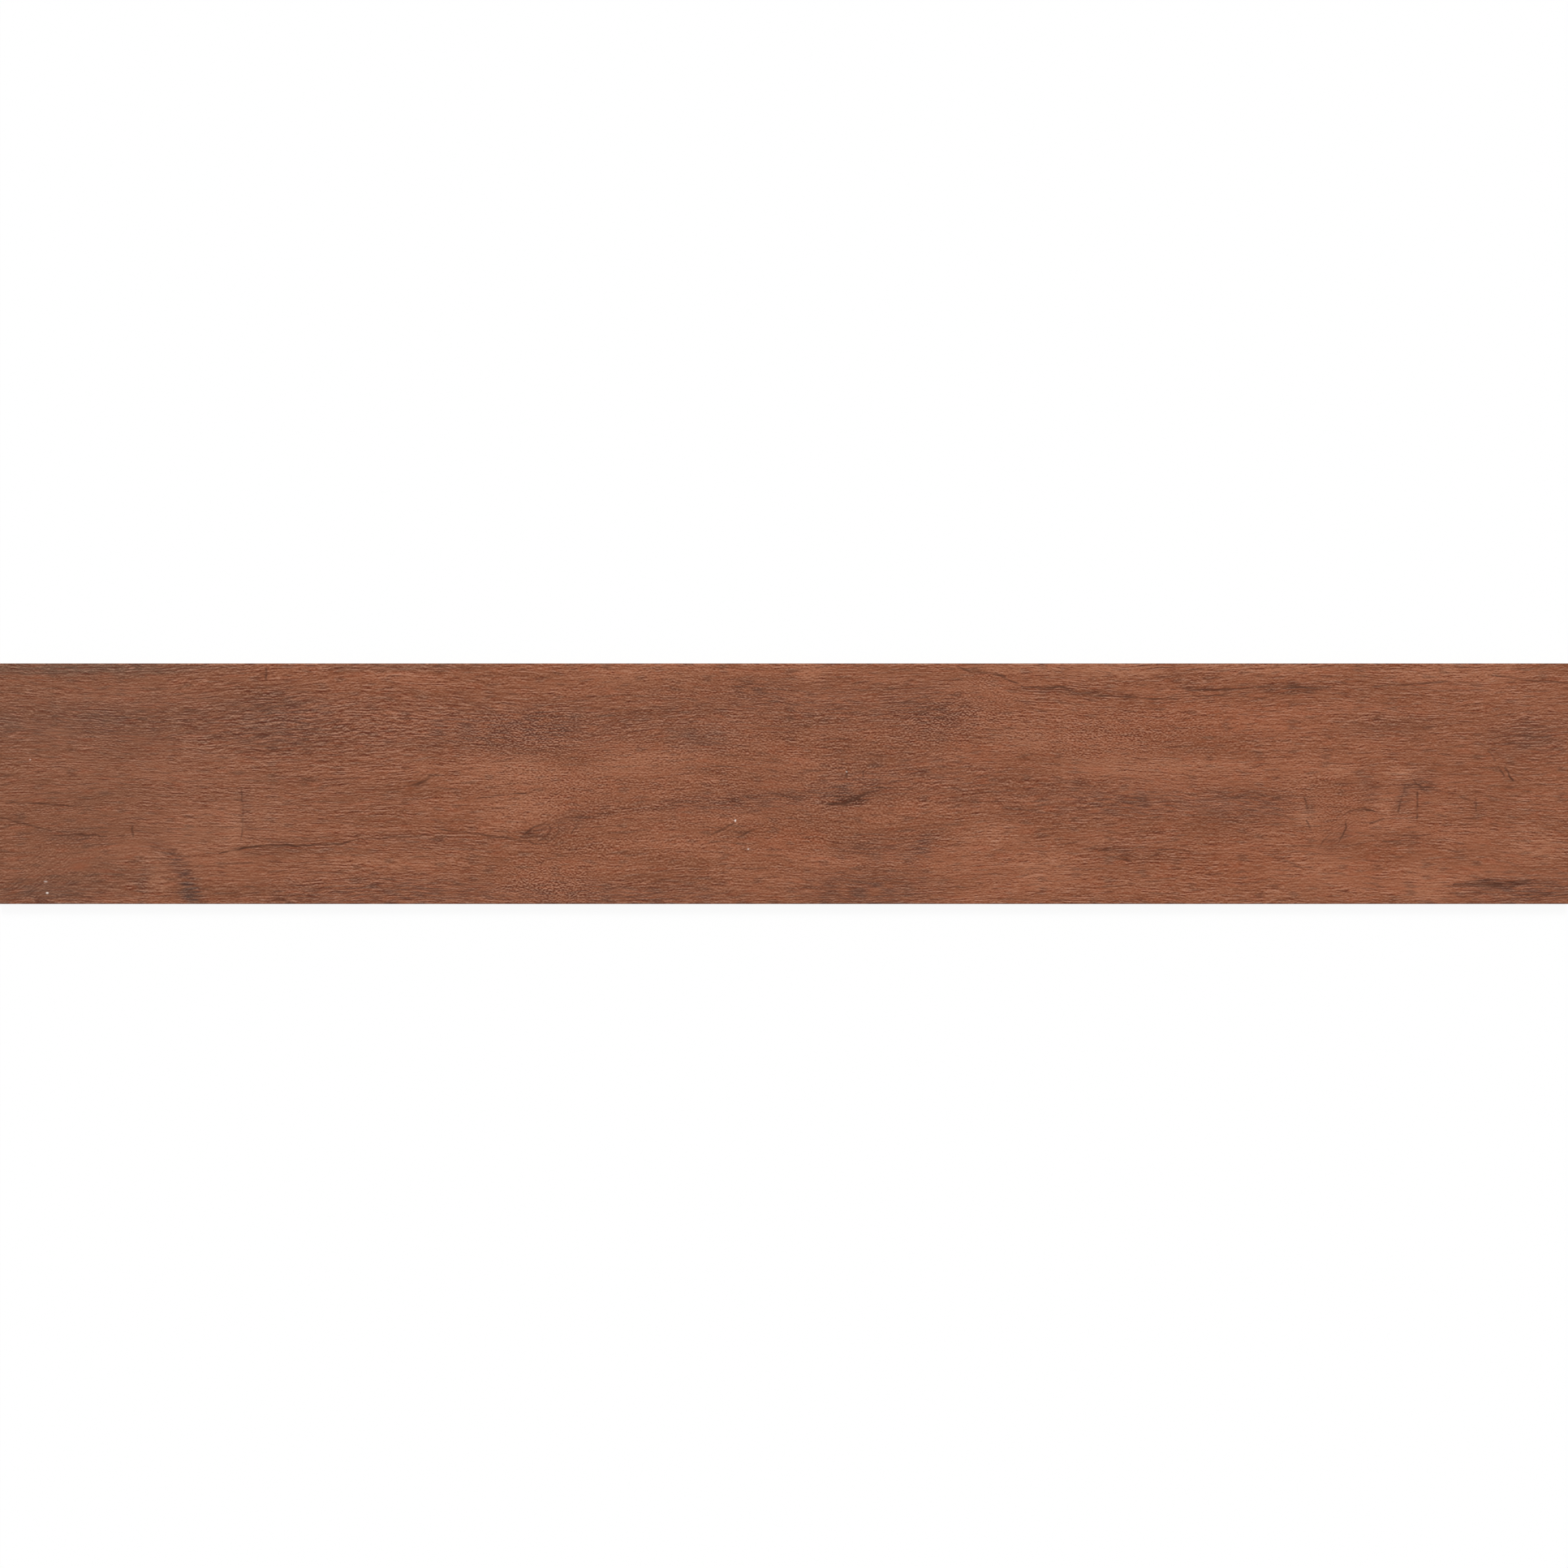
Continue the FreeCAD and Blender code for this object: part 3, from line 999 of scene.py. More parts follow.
    def relief(self, tree: Tree, grain: Socket, figure: dict[Figure, Socket]) -> Socket:
        """Lays the straight, the rising and the curly strokes where the figure has them.

        Args:
            tree: The material's tree.
            grain: Millimetres along and across the grain.
            figure: The figure's values.

        Returns:
            The strokes' height before the light on them.
        """
        feeds = {"Vector": grain, "Angle": -math.radians(self.rising_deg)}
        turned = add_node(tree, "ShaderNodeVectorRotate", feeds, rotation_type="Z_AXIS").outputs[0]
        height = self.laid(tree, grain, self.stroke_layers)
        for kind, place, layers in (
            (Figure.RISING, turned, self.rising_layers),
            (Figure.CURLY, grain, self.curl_layers),
        ):
            feeds = {"Factor": figure[kind], 2: height, 3: self.laid(tree, place, layers)}
            height = add_node(tree, "ShaderNodeMix", feeds).outputs[0]
        return height

    def laid(self, tree: Tree, grain: Socket, layers: tuple[tuple[Fibres, float], ...]) -> Socket:
        """Lays strokes of several lengths over one another.

        Args:
            tree: The material's tree.
            grain: Millimetres along and across the grain.
            layers: The strokes and the share of each.

        Returns:
            Their summed height.
        """
        height = 0.0
        for fibres, share in layers:
            feeds = {0: fibres.draw(tree, grain), 1: share, 2: height}
            height = add_node(tree, "ShaderNodeMath", feeds, operation="MULTIPLY_ADD").outputs[0]
        return height

    def print_colour(
        self,
        tree: Tree,
        grain: Socket,
        figure: dict[Figure, Socket],
        strokes: Socket,
        pores: Socket,
    ) -> Socket:
        """Prints the wood.

        Args:
            tree: The material's tree.
            grain: Millimetres along and across the grain.
            figure: The figure's values.
            strokes: The height of the short strokes.
            pores: The depth of the pressed pores.

        Returns:
            The print's colour.
        """
        colour = self.base_colour(tree, grain)
        soft_inks = {
            Figure.STAIN: self.stain_ink,
            Figure.GLEAM: self.gleam_ink,
            Figure.ASH: self.ash_ink,
        }
        for kind, ink in soft_inks.items():
            colour = inked(tree, colour, figure[kind], ink)
        for flecks in (self.rust_flecks, self.smudges):
            colour = inked(tree, colour, flecks.draw(tree, grain), flecks.ink)
        # Fibres break up the shadows and the dark wood.
        low, high = -self.break_level, self.break_level
        feeds = {0: self.breaks.draw(tree, grain), 1: low, 2: high, 3: self.broken_least, 4: self.broken_most}
        broken = add_node(tree, "ShaderNodeMapRange", feeds)
        for kind, ink in ((Figure.VEIL, self.veil_ink), (Figure.DUSK, self.dusk_and_bevel_shade_ink)):
            feeds = {0: figure[kind], 1: broken.outputs[0]}
            share = add_node(tree, "ShaderNodeMath", feeds, operation="MULTIPLY")
            colour = inked(tree, colour, share.outputs[0], ink)

        # The print paints shade on the low side of a stroke and a highlight on its high side, where
        # the light would catch it. The bump lights the same strokes as well.
        sides = ((-1.0, self.painted_shade_gain, self.painted_shade_and_pore_ink), (1.0, self.painted_highlight_gain, self.painted_highlight_ink))
        for full, gain, ink in sides:
            feeds = {0: strokes, 1: 0.0, 2: full, 3: 0.0, 4: gain}
            share = add_node(tree, "ShaderNodeMapRange", feeds)
            colour = inked(tree, colour, share.outputs[0], ink)

        face = millimetres(tree, add_node(tree, "ShaderNodeTexCoord").outputs["Object"])
        # The pressed pores and the lines are printed darker, and the bevel gets painted shade, darkest at its
        # foot.
        sunk = (
            (pores, self.pore_gain, self.painted_shade_and_pore_ink),
            (self.wood.lines(tree, face), self.line_gain, self.dusk_and_bevel_shade_ink),
            (self.attribute(tree, PlankTile.ARRIS).outputs["Fac"], self.bevel_painted_shade_gain, self.dusk_and_bevel_shade_ink),
        )
        for depth, gain, ink in sunk:
            share = add_node(tree, "ShaderNodeMath", {0: depth, 1: gain}, operation="MULTIPLY")
            colour = inked(tree, colour, share.outputs[0], ink)
        # Painted glints, pale specks laid over everything.
        painted_glints = self.wood.marks(tree, face, PAINTED_GLINTS, join="MAXIMUM")
        return inked(tree, colour, painted_glints, self.painted_glint_ink)

    def base_colour(self, tree: Tree, grain: Socket) -> Socket:
        """Prints the broad bands and the veins of the wood.

        Args:
            tree: The material's tree.
            grain: Millimetres along and across the grain.

        Returns:
            The colour of the wood before its figure and its strokes.
        """
        middle = self.base_inks[1][0]
        feeds = {0: self.bands.draw(tree, grain), 1: self.band_gain, 2: middle}
        banded = add_node(tree, "ShaderNodeMath", feeds, operation="MULTIPLY_ADD")
        feeds = {0: self.veins.draw(tree, grain), 1: self.vein_gain, 2: banded.outputs[0]}
        tone = add_node(tree, "ShaderNodeMath", feeds, operation="MULTIPLY_ADD")
        ramp = add_node(tree, "ShaderNodeValToRGB", {0: tone.outputs[0]})
        stops = ramp.color_ramp.elements
        while len(stops) < len(self.base_inks):
            stops.new(1.0)
        for stop, (place, ink) in zip(stops, self.base_inks):
            stop.position = place
            stop.color = linear(ink)
        return ramp.outputs[0]


@dataclass(frozen=True)
class GroundBody:
    """Bare fired porcelain body, cut by grinding wheels.

    The dense body is dull and sand coloured, with darker grains in it, and the wheels leave fine
    lines along each edge.
    """

    pale_colour: str = "#b39b84"
    dark_colour: str = "#967f69"
    middle_tone: float = 0.5
    # Grains and wheel lines are finer in truth, and drawn as coarse as they need to be to show.
    grains: Fibres = Fibres(1.1, 0.8, seed=13.7, octaves=1.0)
    grain_gain: float = 0.9
    wheel_lines: Fibres = Fibres(45.0, 0.5, seed=31.9)
    line_gain: float = 0.4
    line_height: float = 0.015
    roughness: float = 0.62

    def material(self, name: str) -> bpy.types.Material:
        """Makes the material.

        Args:
            name: The material's name.

        Returns:
            The ground porcelain.
        """
        material, tree, shader = new_material(name)
        position = millimetres(tree, add_node(tree, "ShaderNodeTexCoord").outputs["Object"])
        axes = add_node(tree, "ShaderNodeSeparateXYZ", {0: position}).outputs
        # One of the two is constant on each edge, so their sum runs along it.
        along = add_node(tree, "ShaderNodeMath", {0: axes[0], 1: axes[1]}, operation="ADD")
        edge = add_node(tree, "ShaderNodeCombineXYZ", {0: along.outputs[0], 1: axes[2]}).outputs[0]
        lines = self.wheel_lines.draw(tree, edge)
        feeds = {0: self.grains.draw(tree, edge), 1: self.grain_gain, 2: self.middle_tone}
        grains = add_node(tree, "ShaderNodeMath", feeds, operation="MULTIPLY_ADD")
        feeds = {0: lines, 1: self.line_gain, 2: grains.outputs[0]}
        tone = add_node(tree, "ShaderNodeMath", feeds, operation="MULTIPLY_ADD")
        colour = inked(tree, self.pale_colour, tone.outputs[0], self.dark_colour)
        tree.links.new(colour, shader.inputs["Base Color"])
        feeds = {"Height": lines, "Distance": self.line_height * METRES_PER_MM, "Strength": 1.0}
        tree.links.new(add_node(tree, "ShaderNodeBump", feeds).outputs[0], shader.inputs["Normal"])
        shader.inputs["Roughness"].default_value = self.roughness
        return material


@dataclass(frozen=True)
class PressedBack:
    """Bare fired porcelain back, as it left the press.

    It is rougher than the ground edges and clouded by the kiln. The ribs, which rode on the
    rollers, are pale with kiln wash.
    """

    pale_colour: str = "#b09a84"
    dark_colour: str = "#8f7965"
    wash_colour: str = "#cfc5b8"
    middle_tone: float = 0.5
    clouds: Fibres = Fibres(70.0, 45.0, seed=17.3, octaves=2.0)
    cloud_gain: float = 0.9
    # The grit is finer in truth, and drawn as coarse as it needs to be to show.
    grit: Fibres = Fibres(1.4, 1.4, seed=43.1, octaves=1.0)
    grit_gain: float = 0.5
    grit_height: float = 0.05
    wash_reach: float = 0.25
    wash_share: float = 0.55
    roughness: float = 0.78

    def material(self, name: str) -> bpy.types.Material:
        """Makes the material.

        Args:
            name: The material's name.

        Returns:
            The pressed back.
        """
        material, tree, shader = new_material(name)
        position = millimetres(tree, add_node(tree, "ShaderNodeTexCoord").outputs["Object"])
        height = add_node(tree, "ShaderNodeSeparateXYZ", {0: position}).outputs[2]
        grit = self.grit.draw(tree, position)
        feeds = {0: self.clouds.draw(tree, position), 1: self.cloud_gain, 2: self.middle_tone}
        cloudy = add_node(tree, "ShaderNodeMath", feeds, operation="MULTIPLY_ADD")
        feeds = {0: grit, 1: self.grit_gain, 2: cloudy.outputs[0]}
        tone = add_node(tree, "ShaderNodeMath", feeds, operation="MULTIPLY_ADD")
        colour = inked(tree, self.pale_colour, tone.outputs[0], self.dark_colour)
        feeds = {0: height, 1: self.wash_reach, 2: 0.0, 3: 0.0, 4: self.wash_share}
        on_ribs = add_node(tree, "ShaderNodeMapRange", feeds)
        feeds = {0: on_ribs.outputs[0], 1: cloudy.outputs[0]}
        washed = add_node(tree, "ShaderNodeMath", feeds, operation="MULTIPLY")
        colour = inked(tree, colour, washed.outputs[0], self.wash_colour)
        tree.links.new(colour, shader.inputs["Base Color"])
        feeds = {"Height": grit, "Distance": self.grit_height * METRES_PER_MM, "Strength": 1.0}
        tree.links.new(add_node(tree, "ShaderNodeBump", feeds).outputs[0], shader.inputs["Normal"])
        shader.inputs["Roughness"].default_value = self.roughness
        return material


@dataclass(frozen=True)
class StudioFloor:
    """White paper sweep that the camera sees as white, with the plank's shadow on it."""

    lit_share: float = 0.1

    def material(self) -> bpy.types.Material:
        """Makes the material.

        Returns:
            The floor's material.
        """
        material, tree, _ = new_material("white_paper_floor")
        tree.nodes.clear()
        lit = add_node(tree, "ShaderNodeBsdfDiffuse", {"Color": linear(WHITE)})
        white = add_node(tree, "ShaderNodeEmission", {"Color": linear(WHITE), "Strength": 1.0})
        ray = add_node(tree, "ShaderNodeLightPath")
        shown = ray.outputs["Is Camera Ray"]
        for kind in ("Is Glossy Ray", "Is Transmission Ray"):
            feeds = {0: shown, 1: ray.outputs[kind]}
            shown = add_node(tree, "ShaderNodeMath", feeds, operation="MAXIMUM").outputs[0]
        share = add_node(tree, "ShaderNodeMath", {0: shown, 1: 1 - self.lit_share}, operation="MULTIPLY")
        feeds = {0: share.outputs[0], 1: lit.outputs[0], 2: white.outputs[0]}
        paper = add_node(tree, "ShaderNodeMixShader", feeds)
        add_node(tree, "ShaderNodeOutputMaterial", {"Surface": paper.outputs[0]})
        return material


@dataclass
class PlankTile:
    """The plank: one piece of pressed, printed and fired porcelain."""

    length: float
    width: float
    thickness: float
    wood: WoodGrain
    bevel: float = 0.6
    back_border: float = 10.0
    rib_width: float = 5.0
    cell_depth: float = 0.7
    cell_draft_deg: float = 30.0
    cells_along: int = 42
    cells_across: int = 6
    pore_depth: float = 0.12
    line_depth: float = 0.18
    face_columns: int = 270
    face_rows: int = 340
    weld_reach: float = 0.001

    # The name of the attribute that rises over the bevel, from 0 at the face.
    ARRIS = "arris"
    # The names of the materials on the face, the edges and the back.
    FINISHES = ("matt_glaze_over_wood_print", "ground_porcelain_body", "pressed_porcelain_back")
    # The sides' places on the map: left, bottom, right and top, as shares of it.
    MAP_LEFT_FACE = (0.006, 0.634, 0.994, 0.994)
    MAP_RIGHT_FACE = (0.006, 0.268, 0.994, 0.628)
    MAP_BACK = (0.006, 0.102, 0.994, 0.262)
    MAP_FAR_EDGE = (0.006, 0.071, 0.994, 0.096)
    MAP_FRONT_EDGE = (0.006, 0.040, 0.994, 0.065)
    MAP_LEFT_END = (0.006, 0.009, 0.494, 0.034)
    MAP_RIGHT_END = (0.506, 0.009, 0.994, 0.034)

    def inputs(self) -> dict[str, tuple[str, object]]:
        """Works out the sizes that the tree reads.

        Returns:
            Each input's socket type and its value, in metres.
        """
        pitch_along = (self.length - 2 * self.back_border + self.rib_width) / self.cells_along
        pitch_across = (self.width - 2 * self.back_border + self.rib_width) / self.cells_across
        mouth_along, mouth_across = pitch_along - self.rib_width, pitch_across - self.rib_width
        setback = 2 * self.cell_depth * math.tan(math.radians(self.cell_draft_deg))
        face_length, face_width = self.length - 2 * self.bevel, self.width - 2 * self.bevel
        lengths = {
            "Face length": face_length,
            "Face width": face_width,
            "Thickness": self.thickness,
            "Bevel foot": self.thickness - self.bevel,
            "Pore depth": self.pore_depth,
            "Line depth": self.line_depth,
            "Weld reach": self.weld_reach,
            "Mouth along": mouth_along,
            "Mouth across": mouth_across,
            "Cell depth": self.cell_depth,
            "Back reach": 2 * self.cell_depth,
            "First to last cell along": pitch_along * (self.cells_along - 1),
            "First to last cell across": pitch_across * (self.cells_across - 1),
        }
        counts = {
            "Face columns": self.face_columns + 1,
            "Face rows": self.face_rows + 1,
            "Cells along": self.cells_along,
            "Cells across": self.cells_across,
        }
        shares = {
            "Outline over face": (self.length / face_length, self.width / face_width, 0.0),
            "Floor over mouth": (1 - setback / mouth_along, 1 - setback / mouth_across, 1.0),
        }
        finishes = {
            "Glaze": WoodPrintGlaze(self.wood).material(self.FINISHES[0]),
            "Ground edge": GroundBody().material(self.FINISHES[1]),
            "Keyed back": PressedBack().material(self.FINISHES[2]),
        }
        return {
            **{name: ("NodeSocketFloat", value * METRES_PER_MM) for name, value in lengths.items()},
            **{name: ("NodeSocketInt", value) for name, value in counts.items()},
            **{name: ("NodeSocketVector", value) for name, value in shares.items()},
            **{name: ("NodeSocketMaterial", value) for name, value in finishes.items()},
        }

    def tree(self, inputs: dict[str, tuple[str, object]]) -> tuple[Tree, dict[str, str]]:
        """Builds the tree that presses the plank.

        Args:
            inputs: Each input's socket type and its value.

        Returns:
            The tree, and the identifier of each input's socket.
        """
        tree = bpy.data.node_groups.new("pressed_plank", "GeometryNodeTree")
        tree.interface.new_socket("Geometry", in_out="INPUT", socket_type="NodeSocketGeometry")
        tree.interface.new_socket("Geometry", in_out="OUTPUT", socket_type="NodeSocketGeometry")
        sockets = {
            name: tree.interface.new_socket(name, in_out="INPUT", socket_type=kind).identifier
            for name, (kind, _) in inputs.items()
        }
        sizes = add_node(tree, "NodeGroupInput").outputs
        face = self.press_face(tree, sizes)
        shell, rim = self.grind_edges(tree, sizes, face)
        cells, mouths = self.press_cells(tree, sizes)
        back = self.fill_back(tree, rim, mouths)
        joined = add_node(tree, "GeometryNodeJoinGeometry", {0: [shell, cells, back]})
        feeds = {0: joined.outputs[0], "Distance": sizes["Weld reach"]}
        closed = add_node(tree, "GeometryNodeMergeByDistance", feeds)
        add_node(tree, "NodeGroupOutput", {0: self.dressed(tree, sizes, closed.outputs[0])})
        return tree, sockets

    def press_face(self, tree: Tree, sizes: bpy.types.NodeOutputs) -> Socket:
        """Presses the grain into the face, and keeps the figure on it for the print.

        Args:
            tree: The plank's tree.
            sizes: The tree's inputs.

        Returns:
            The mesh of the face.
        """
        names = ("Face length", "Face width", "Face columns", "Face rows")
        feeds = {i: sizes[name] for i, name in enumerate(names)}
        sheet = add_node(tree, "GeometryNodeMeshGrid", feeds)
        position = add_node(tree, "GeometryNodeInputPosition").outputs[0]
        face = millimetres(tree, position)
        grain = self.wood.along_grain(tree, face)
        kept, grain = self.keep(tree, sheet.outputs[0], WoodGrain.ATTRIBUTE, grain, "FLOAT_VECTOR")
        frayed = self.wood.frayed(tree, face, grain)
        figure = {}
        for kind in Figure:
            # Fibres fray the wood's own marks, but not the shadows that lie across them.
            place = face if kind is Figure.VEIL else frayed
            value = self.wood.marks(tree, place, FIGURE_MARKS[kind], join="ADD")
            kept, figure[kind] = self.keep(tree, kept, kind.value, value, "FLOAT")

        pores = self.wood.pore_depth(tree, grain, figure[Figure.ROUGH])
        feeds = {0: pores, 1: sizes["Pore depth"]}
        sunk = add_node(tree, "ShaderNodeMath", feeds, operation="MULTIPLY")
        feeds = {0: self.wood.lines(tree, face), 1: sizes["Line depth"], 2: sunk.outputs[0]}
        sunk = add_node(tree, "ShaderNodeMath", feeds, operation="MULTIPLY_ADD")
        feeds = {0: sizes["Thickness"], 1: sunk.outputs[0]}
        height = add_node(tree, "ShaderNodeMath", feeds, operation="SUBTRACT")
        lift = add_node(tree, "ShaderNodeCombineXYZ", {2: height.outputs[0]})
        pressed = add_node(tree, "GeometryNodeSetPosition", {0: kept, "Offset": lift.outputs[0]})
        return add_node(tree, "GeometryNodeSetShadeSmooth", {0: pressed.outputs[0]}).outputs[0]

    def keep(
        self,
        tree: Tree,
        mesh: Socket,
        name: str,
        value: Socket | float,
        kind: str,
    ) -> tuple[Socket, Socket]:
        """Keeps a value on the mesh's points as a named attribute.

        Args:
            tree: The plank's tree.
            mesh: The mesh.
            name: The attribute's name.
            value: The value.
            kind: Its data type.

        Returns:
            The mesh with the attribute, and the value read back from it.
        """
        feeds = {"Geometry": mesh, "Name": name, "Value": value}
        kept = add_node(tree, "GeometryNodeStoreNamedAttribute", feeds, data_type=kind)
        read = add_node(tree, "GeometryNodeInputNamedAttribute", {"Name": name}, data_type=kind)
        return kept.outputs[0], read.outputs["Attribute"]

    def grind_edges(self, tree: Tree, sizes: bpy.types.NodeOutputs, face: Socket) -> tuple[Socket, Socket]:
        """Draws the bevel and the edges down from the face.

        Args:
            tree: The plank's tree.
            sizes: The tree's inputs.
            face: The mesh of the face.

        Returns:
            The mesh of the face, the bevel and the edges, and the curve round its open foot.
        """
        position = add_node(tree, "GeometryNodeInputPosition").outputs[0]
        bevel_height = add_node(tree, "ShaderNodeCombineXYZ", {2: sizes["Bevel foot"]})
        feeds = {0: position, 1: sizes["Outline over face"], 2: bevel_height.outputs[0]}
        bevel_foot = add_node(tree, "ShaderNodeVectorMath", feeds, operation="MULTIPLY_ADD")
        feeds = {0: position, 1: (1.0, 1.0, 0.0)}
        edge_foot = add_node(tree, "ShaderNodeVectorMath", feeds, operation="MULTIPLY")
        open_edge = self.open_edges(tree)
        shell, _ = self.keep(tree, face, self.ARRIS, 0.0, "FLOAT")
        for foot in (bevel_foot, edge_foot):
            feeds = {0: shell, "Selection": open_edge, "Offset Scale": 0.0}
            drawn = add_node(tree, "GeometryNodeExtrudeMesh", feeds, mode="EDGES")
            feeds = {0: drawn.outputs[0], "Selection": drawn.outputs["Top"], "Position": foot.outputs[0]}
            placed = add_node(tree, "GeometryNodeSetPosition", feeds)
            feeds = {0: placed.outputs[0], "Selection": drawn.outputs["Side"], "Shade Smooth": False}
            flat = add_node(tree, "GeometryNodeSetShadeSmooth", feeds)
            feeds = {0: flat.outputs[0], "Selection": drawn.outputs["Top"], "Name": self.ARRIS, "Value": 1.0}
            shell = add_node(tree, "GeometryNodeStoreNamedAttribute", feeds, data_type="FLOAT").outputs[0]
        rim = add_node(tree, "GeometryNodeMeshToCurve", {0: shell, "Selection": drawn.outputs["Top"]})
        return shell, rim.outputs[0]

    def open_edges(self, tree: Tree) -> Socket:
        """Finds the edges that have a face on one side only.

        Args:
            tree: The plank's tree.

        Returns:
            The selection of those edges.
        """
        neighbours = add_node(tree, "GeometryNodeInputMeshEdgeNeighbors")
        feeds = {2: neighbours.outputs[0], 3: 1}
        return add_node(tree, "FunctionNodeCompare", feeds, data_type="INT", operation="EQUAL").outputs[0]

    def press_cells(self, tree: Tree, sizes: bpy.types.NodeOutputs) -> tuple[Socket, Socket]:
        """Presses one drafted cell and repeats it over the back.

        Args:
            tree: The plank's tree.
            sizes: The tree's inputs.

        Returns:
            The mesh of all cells, and the curves round their mouths.
        """
        # The mouth is one face, with 2 by 2 corners.
        feeds = {0: sizes["Mouth along"], 1: sizes["Mouth across"], 2: 2, 3: 2}
        mouth = add_node(tree, "GeometryNodeMeshGrid", feeds)
        depth = add_node(tree, "ShaderNodeCombineXYZ", {2: sizes["Cell depth"]})
        feeds = {0: mouth.outputs[0], "Offset": depth.outputs[0], "Offset Scale": 1.0}
        sunk = add_node(tree, "GeometryNodeExtrudeMesh", feeds, mode="FACES")
        position = add_node(tree, "GeometryNodeInputPosition").outputs[0]
        feeds = {0: position, 1: sizes["Floor over mouth"]}
        floor = add_node(tree, "ShaderNodeVectorMath", feeds, operation="MULTIPLY")
        feeds = {0: sunk.outputs[0], "Selection": sunk.outputs["Top"], "Position": floor.outputs[0]}
        drafted = add_node(tree, "GeometryNodeSetPosition", feeds)
        inward = add_node(tree, "GeometryNodeFlipFaces", {0: drafted.outputs[0]})
        names = ("First to last cell along", "First to last cell across", "Cells along", "Cells across")
        feeds = {i: sizes[name] for i, name in enumerate(names)}
        places = add_node(tree, "GeometryNodeMeshGrid", feeds)
        feeds = {"Points": places.outputs[0], "Instance": inward.outputs[0]}
        repeated = add_node(tree, "GeometryNodeInstanceOnPoints", feeds)
        cells = add_node(tree, "GeometryNodeRealizeInstances", {0: repeated.outputs[0]})
        feeds = {0: cells.outputs[0], "Selection": self.open_edges(tree)}
        mouths = add_node(tree, "GeometryNodeMeshToCurve", feeds)
        return cells.outputs[0], mouths.outputs[0]

    def fill_back(self, tree: Tree, rim: Socket, mouths: Socket) -> Socket:
        """Closes the back with the flat ribs and border between the edges and the cells.

        Args:
            tree: The plank's tree.
            rim: The curve round the foot of the edges.
            mouths: The curves round the cells' mouths.

        Returns:
            The mesh of the ribs and the border.
        """
        loops = add_node(tree, "GeometryNodeJoinGeometry", {0: [rim, mouths]})
        filled = add_node(tree, "GeometryNodeFillCurve", {0: loops.outputs[0]}, mode="TRIANGLES")
        down = add_node(tree, "GeometryNodeFlipFaces", {0: filled.outputs[0]})
        flat = add_node(tree, "GeometryNodeSetShadeSmooth", {0: down.outputs[0], "Shade Smooth": False})
        return flat.outputs[0]

    def dressed(self, tree: Tree, sizes: bpy.types.NodeOutputs, plank: Socket) -> Socket:
        """Gives each side of the plank its finish, by the height of its faces.

        Args:
            tree: The plank's tree.
            sizes: The tree's inputs.
            plank: The closed mesh.

        Returns:
            The mesh in its three finishes.
        """
        position = add_node(tree, "GeometryNodeInputPosition").outputs[0]
        height = add_node(tree, "ShaderNodeSeparateXYZ", {0: position}).outputs[2]
        real = add_node(tree, "GeometryNodeRealizeInstances", {0: plank})
        coat = add_node(tree, "GeometryNodeSetMaterial", {0: real.outputs[0], "Material": sizes["Glaze"]})
        for top, finish in (("Bevel foot", "Ground edge"), ("Back reach", "Keyed back")):
            below = add_node(tree, "FunctionNodeCompare", {0: height, 1: sizes[top]}, operation="LESS_THAN")
            feeds = {0: coat.outputs[0], "Selection": below.outputs[0], "Material": sizes[finish]}
            coat = add_node(tree, "GeometryNodeSetMaterial", feeds)
        return coat.outputs[0]

    def build(self) -> bpy.types.Object:
        """Makes the plank as a plain mesh.

        Returns:
            The plank's object, at the origin.
        """
        inputs = self.inputs()
        tree, sockets = self.tree(inputs)
        holder = bpy.data.objects.new("plank_holder", bpy.data.meshes.new("plank_holder"))
        bpy.context.scene.collection.objects.link(holder)
        press = holder.modifiers.new("pressed_plank", "NODES")
        press.node_group = tree
        for name, (_, value) in inputs.items():
            press[sockets[name]] = value
        depsgraph = bpy.context.evaluated_depsgraph_get()
        mesh = bpy.data.meshes.new_from_object(holder.evaluated_get(depsgraph))
        mesh.name = "plank_tile_dressed"
        holder.modifiers.remove(press)
        bpy.data.objects.remove(holder)
        # The bare sheet that the press starts from leaves an empty slot before the finishes.
        mesh.materials.pop(index=0)
        self.unfold(mesh)
        plank = bpy.data.objects.new("plank_tile_dressed", mesh)
        bpy.context.scene.collection.objects.link(plank)
        return plank

    def unfold(self, mesh: bpy.types.Mesh) -> None:
        """Lays the plank's sides on one square map.

        The face lies there in two halves, one above the other, so that its print stays sharp.

        Args:
            mesh: The plank's mesh, in metres.
        """
        points = np.empty((len(mesh.vertices), 3))
        mesh.vertices.foreach_get("co", points.ravel())
        corner_points = np.empty(len(mesh.loops), dtype=int)
        mesh.loops.foreach_get("vertex_index", corner_points)
        x, y, z = points[corner_points].T * MM_PER_METRE

        polygons = len(mesh.polygons)
        corners, finish = np.empty(polygons, dtype=int), np.empty(polygons, dtype=int)
        normals, middles = np.empty((polygons, 3)), np.empty((polygons, 3))
        mesh.polygons.foreach_get("loop_total", corners)
        mesh.polygons.foreach_get("material_index", finish)
        mesh.polygons.foreach_get("normal", normals.ravel())
        mesh.polygons.foreach_get("center", middles.ravel())
        slots = (mesh.materials.find(name) for name in self.FINISHES)
        glazed, ground, keyed = (np.repeat(finish == slot, corners) for slot in slots)
        right_half = np.repeat(middles[:, 0] > 0, corners)
        facing_x, facing_y, _ = np.repeat(normals, corners, axis=0).round().T

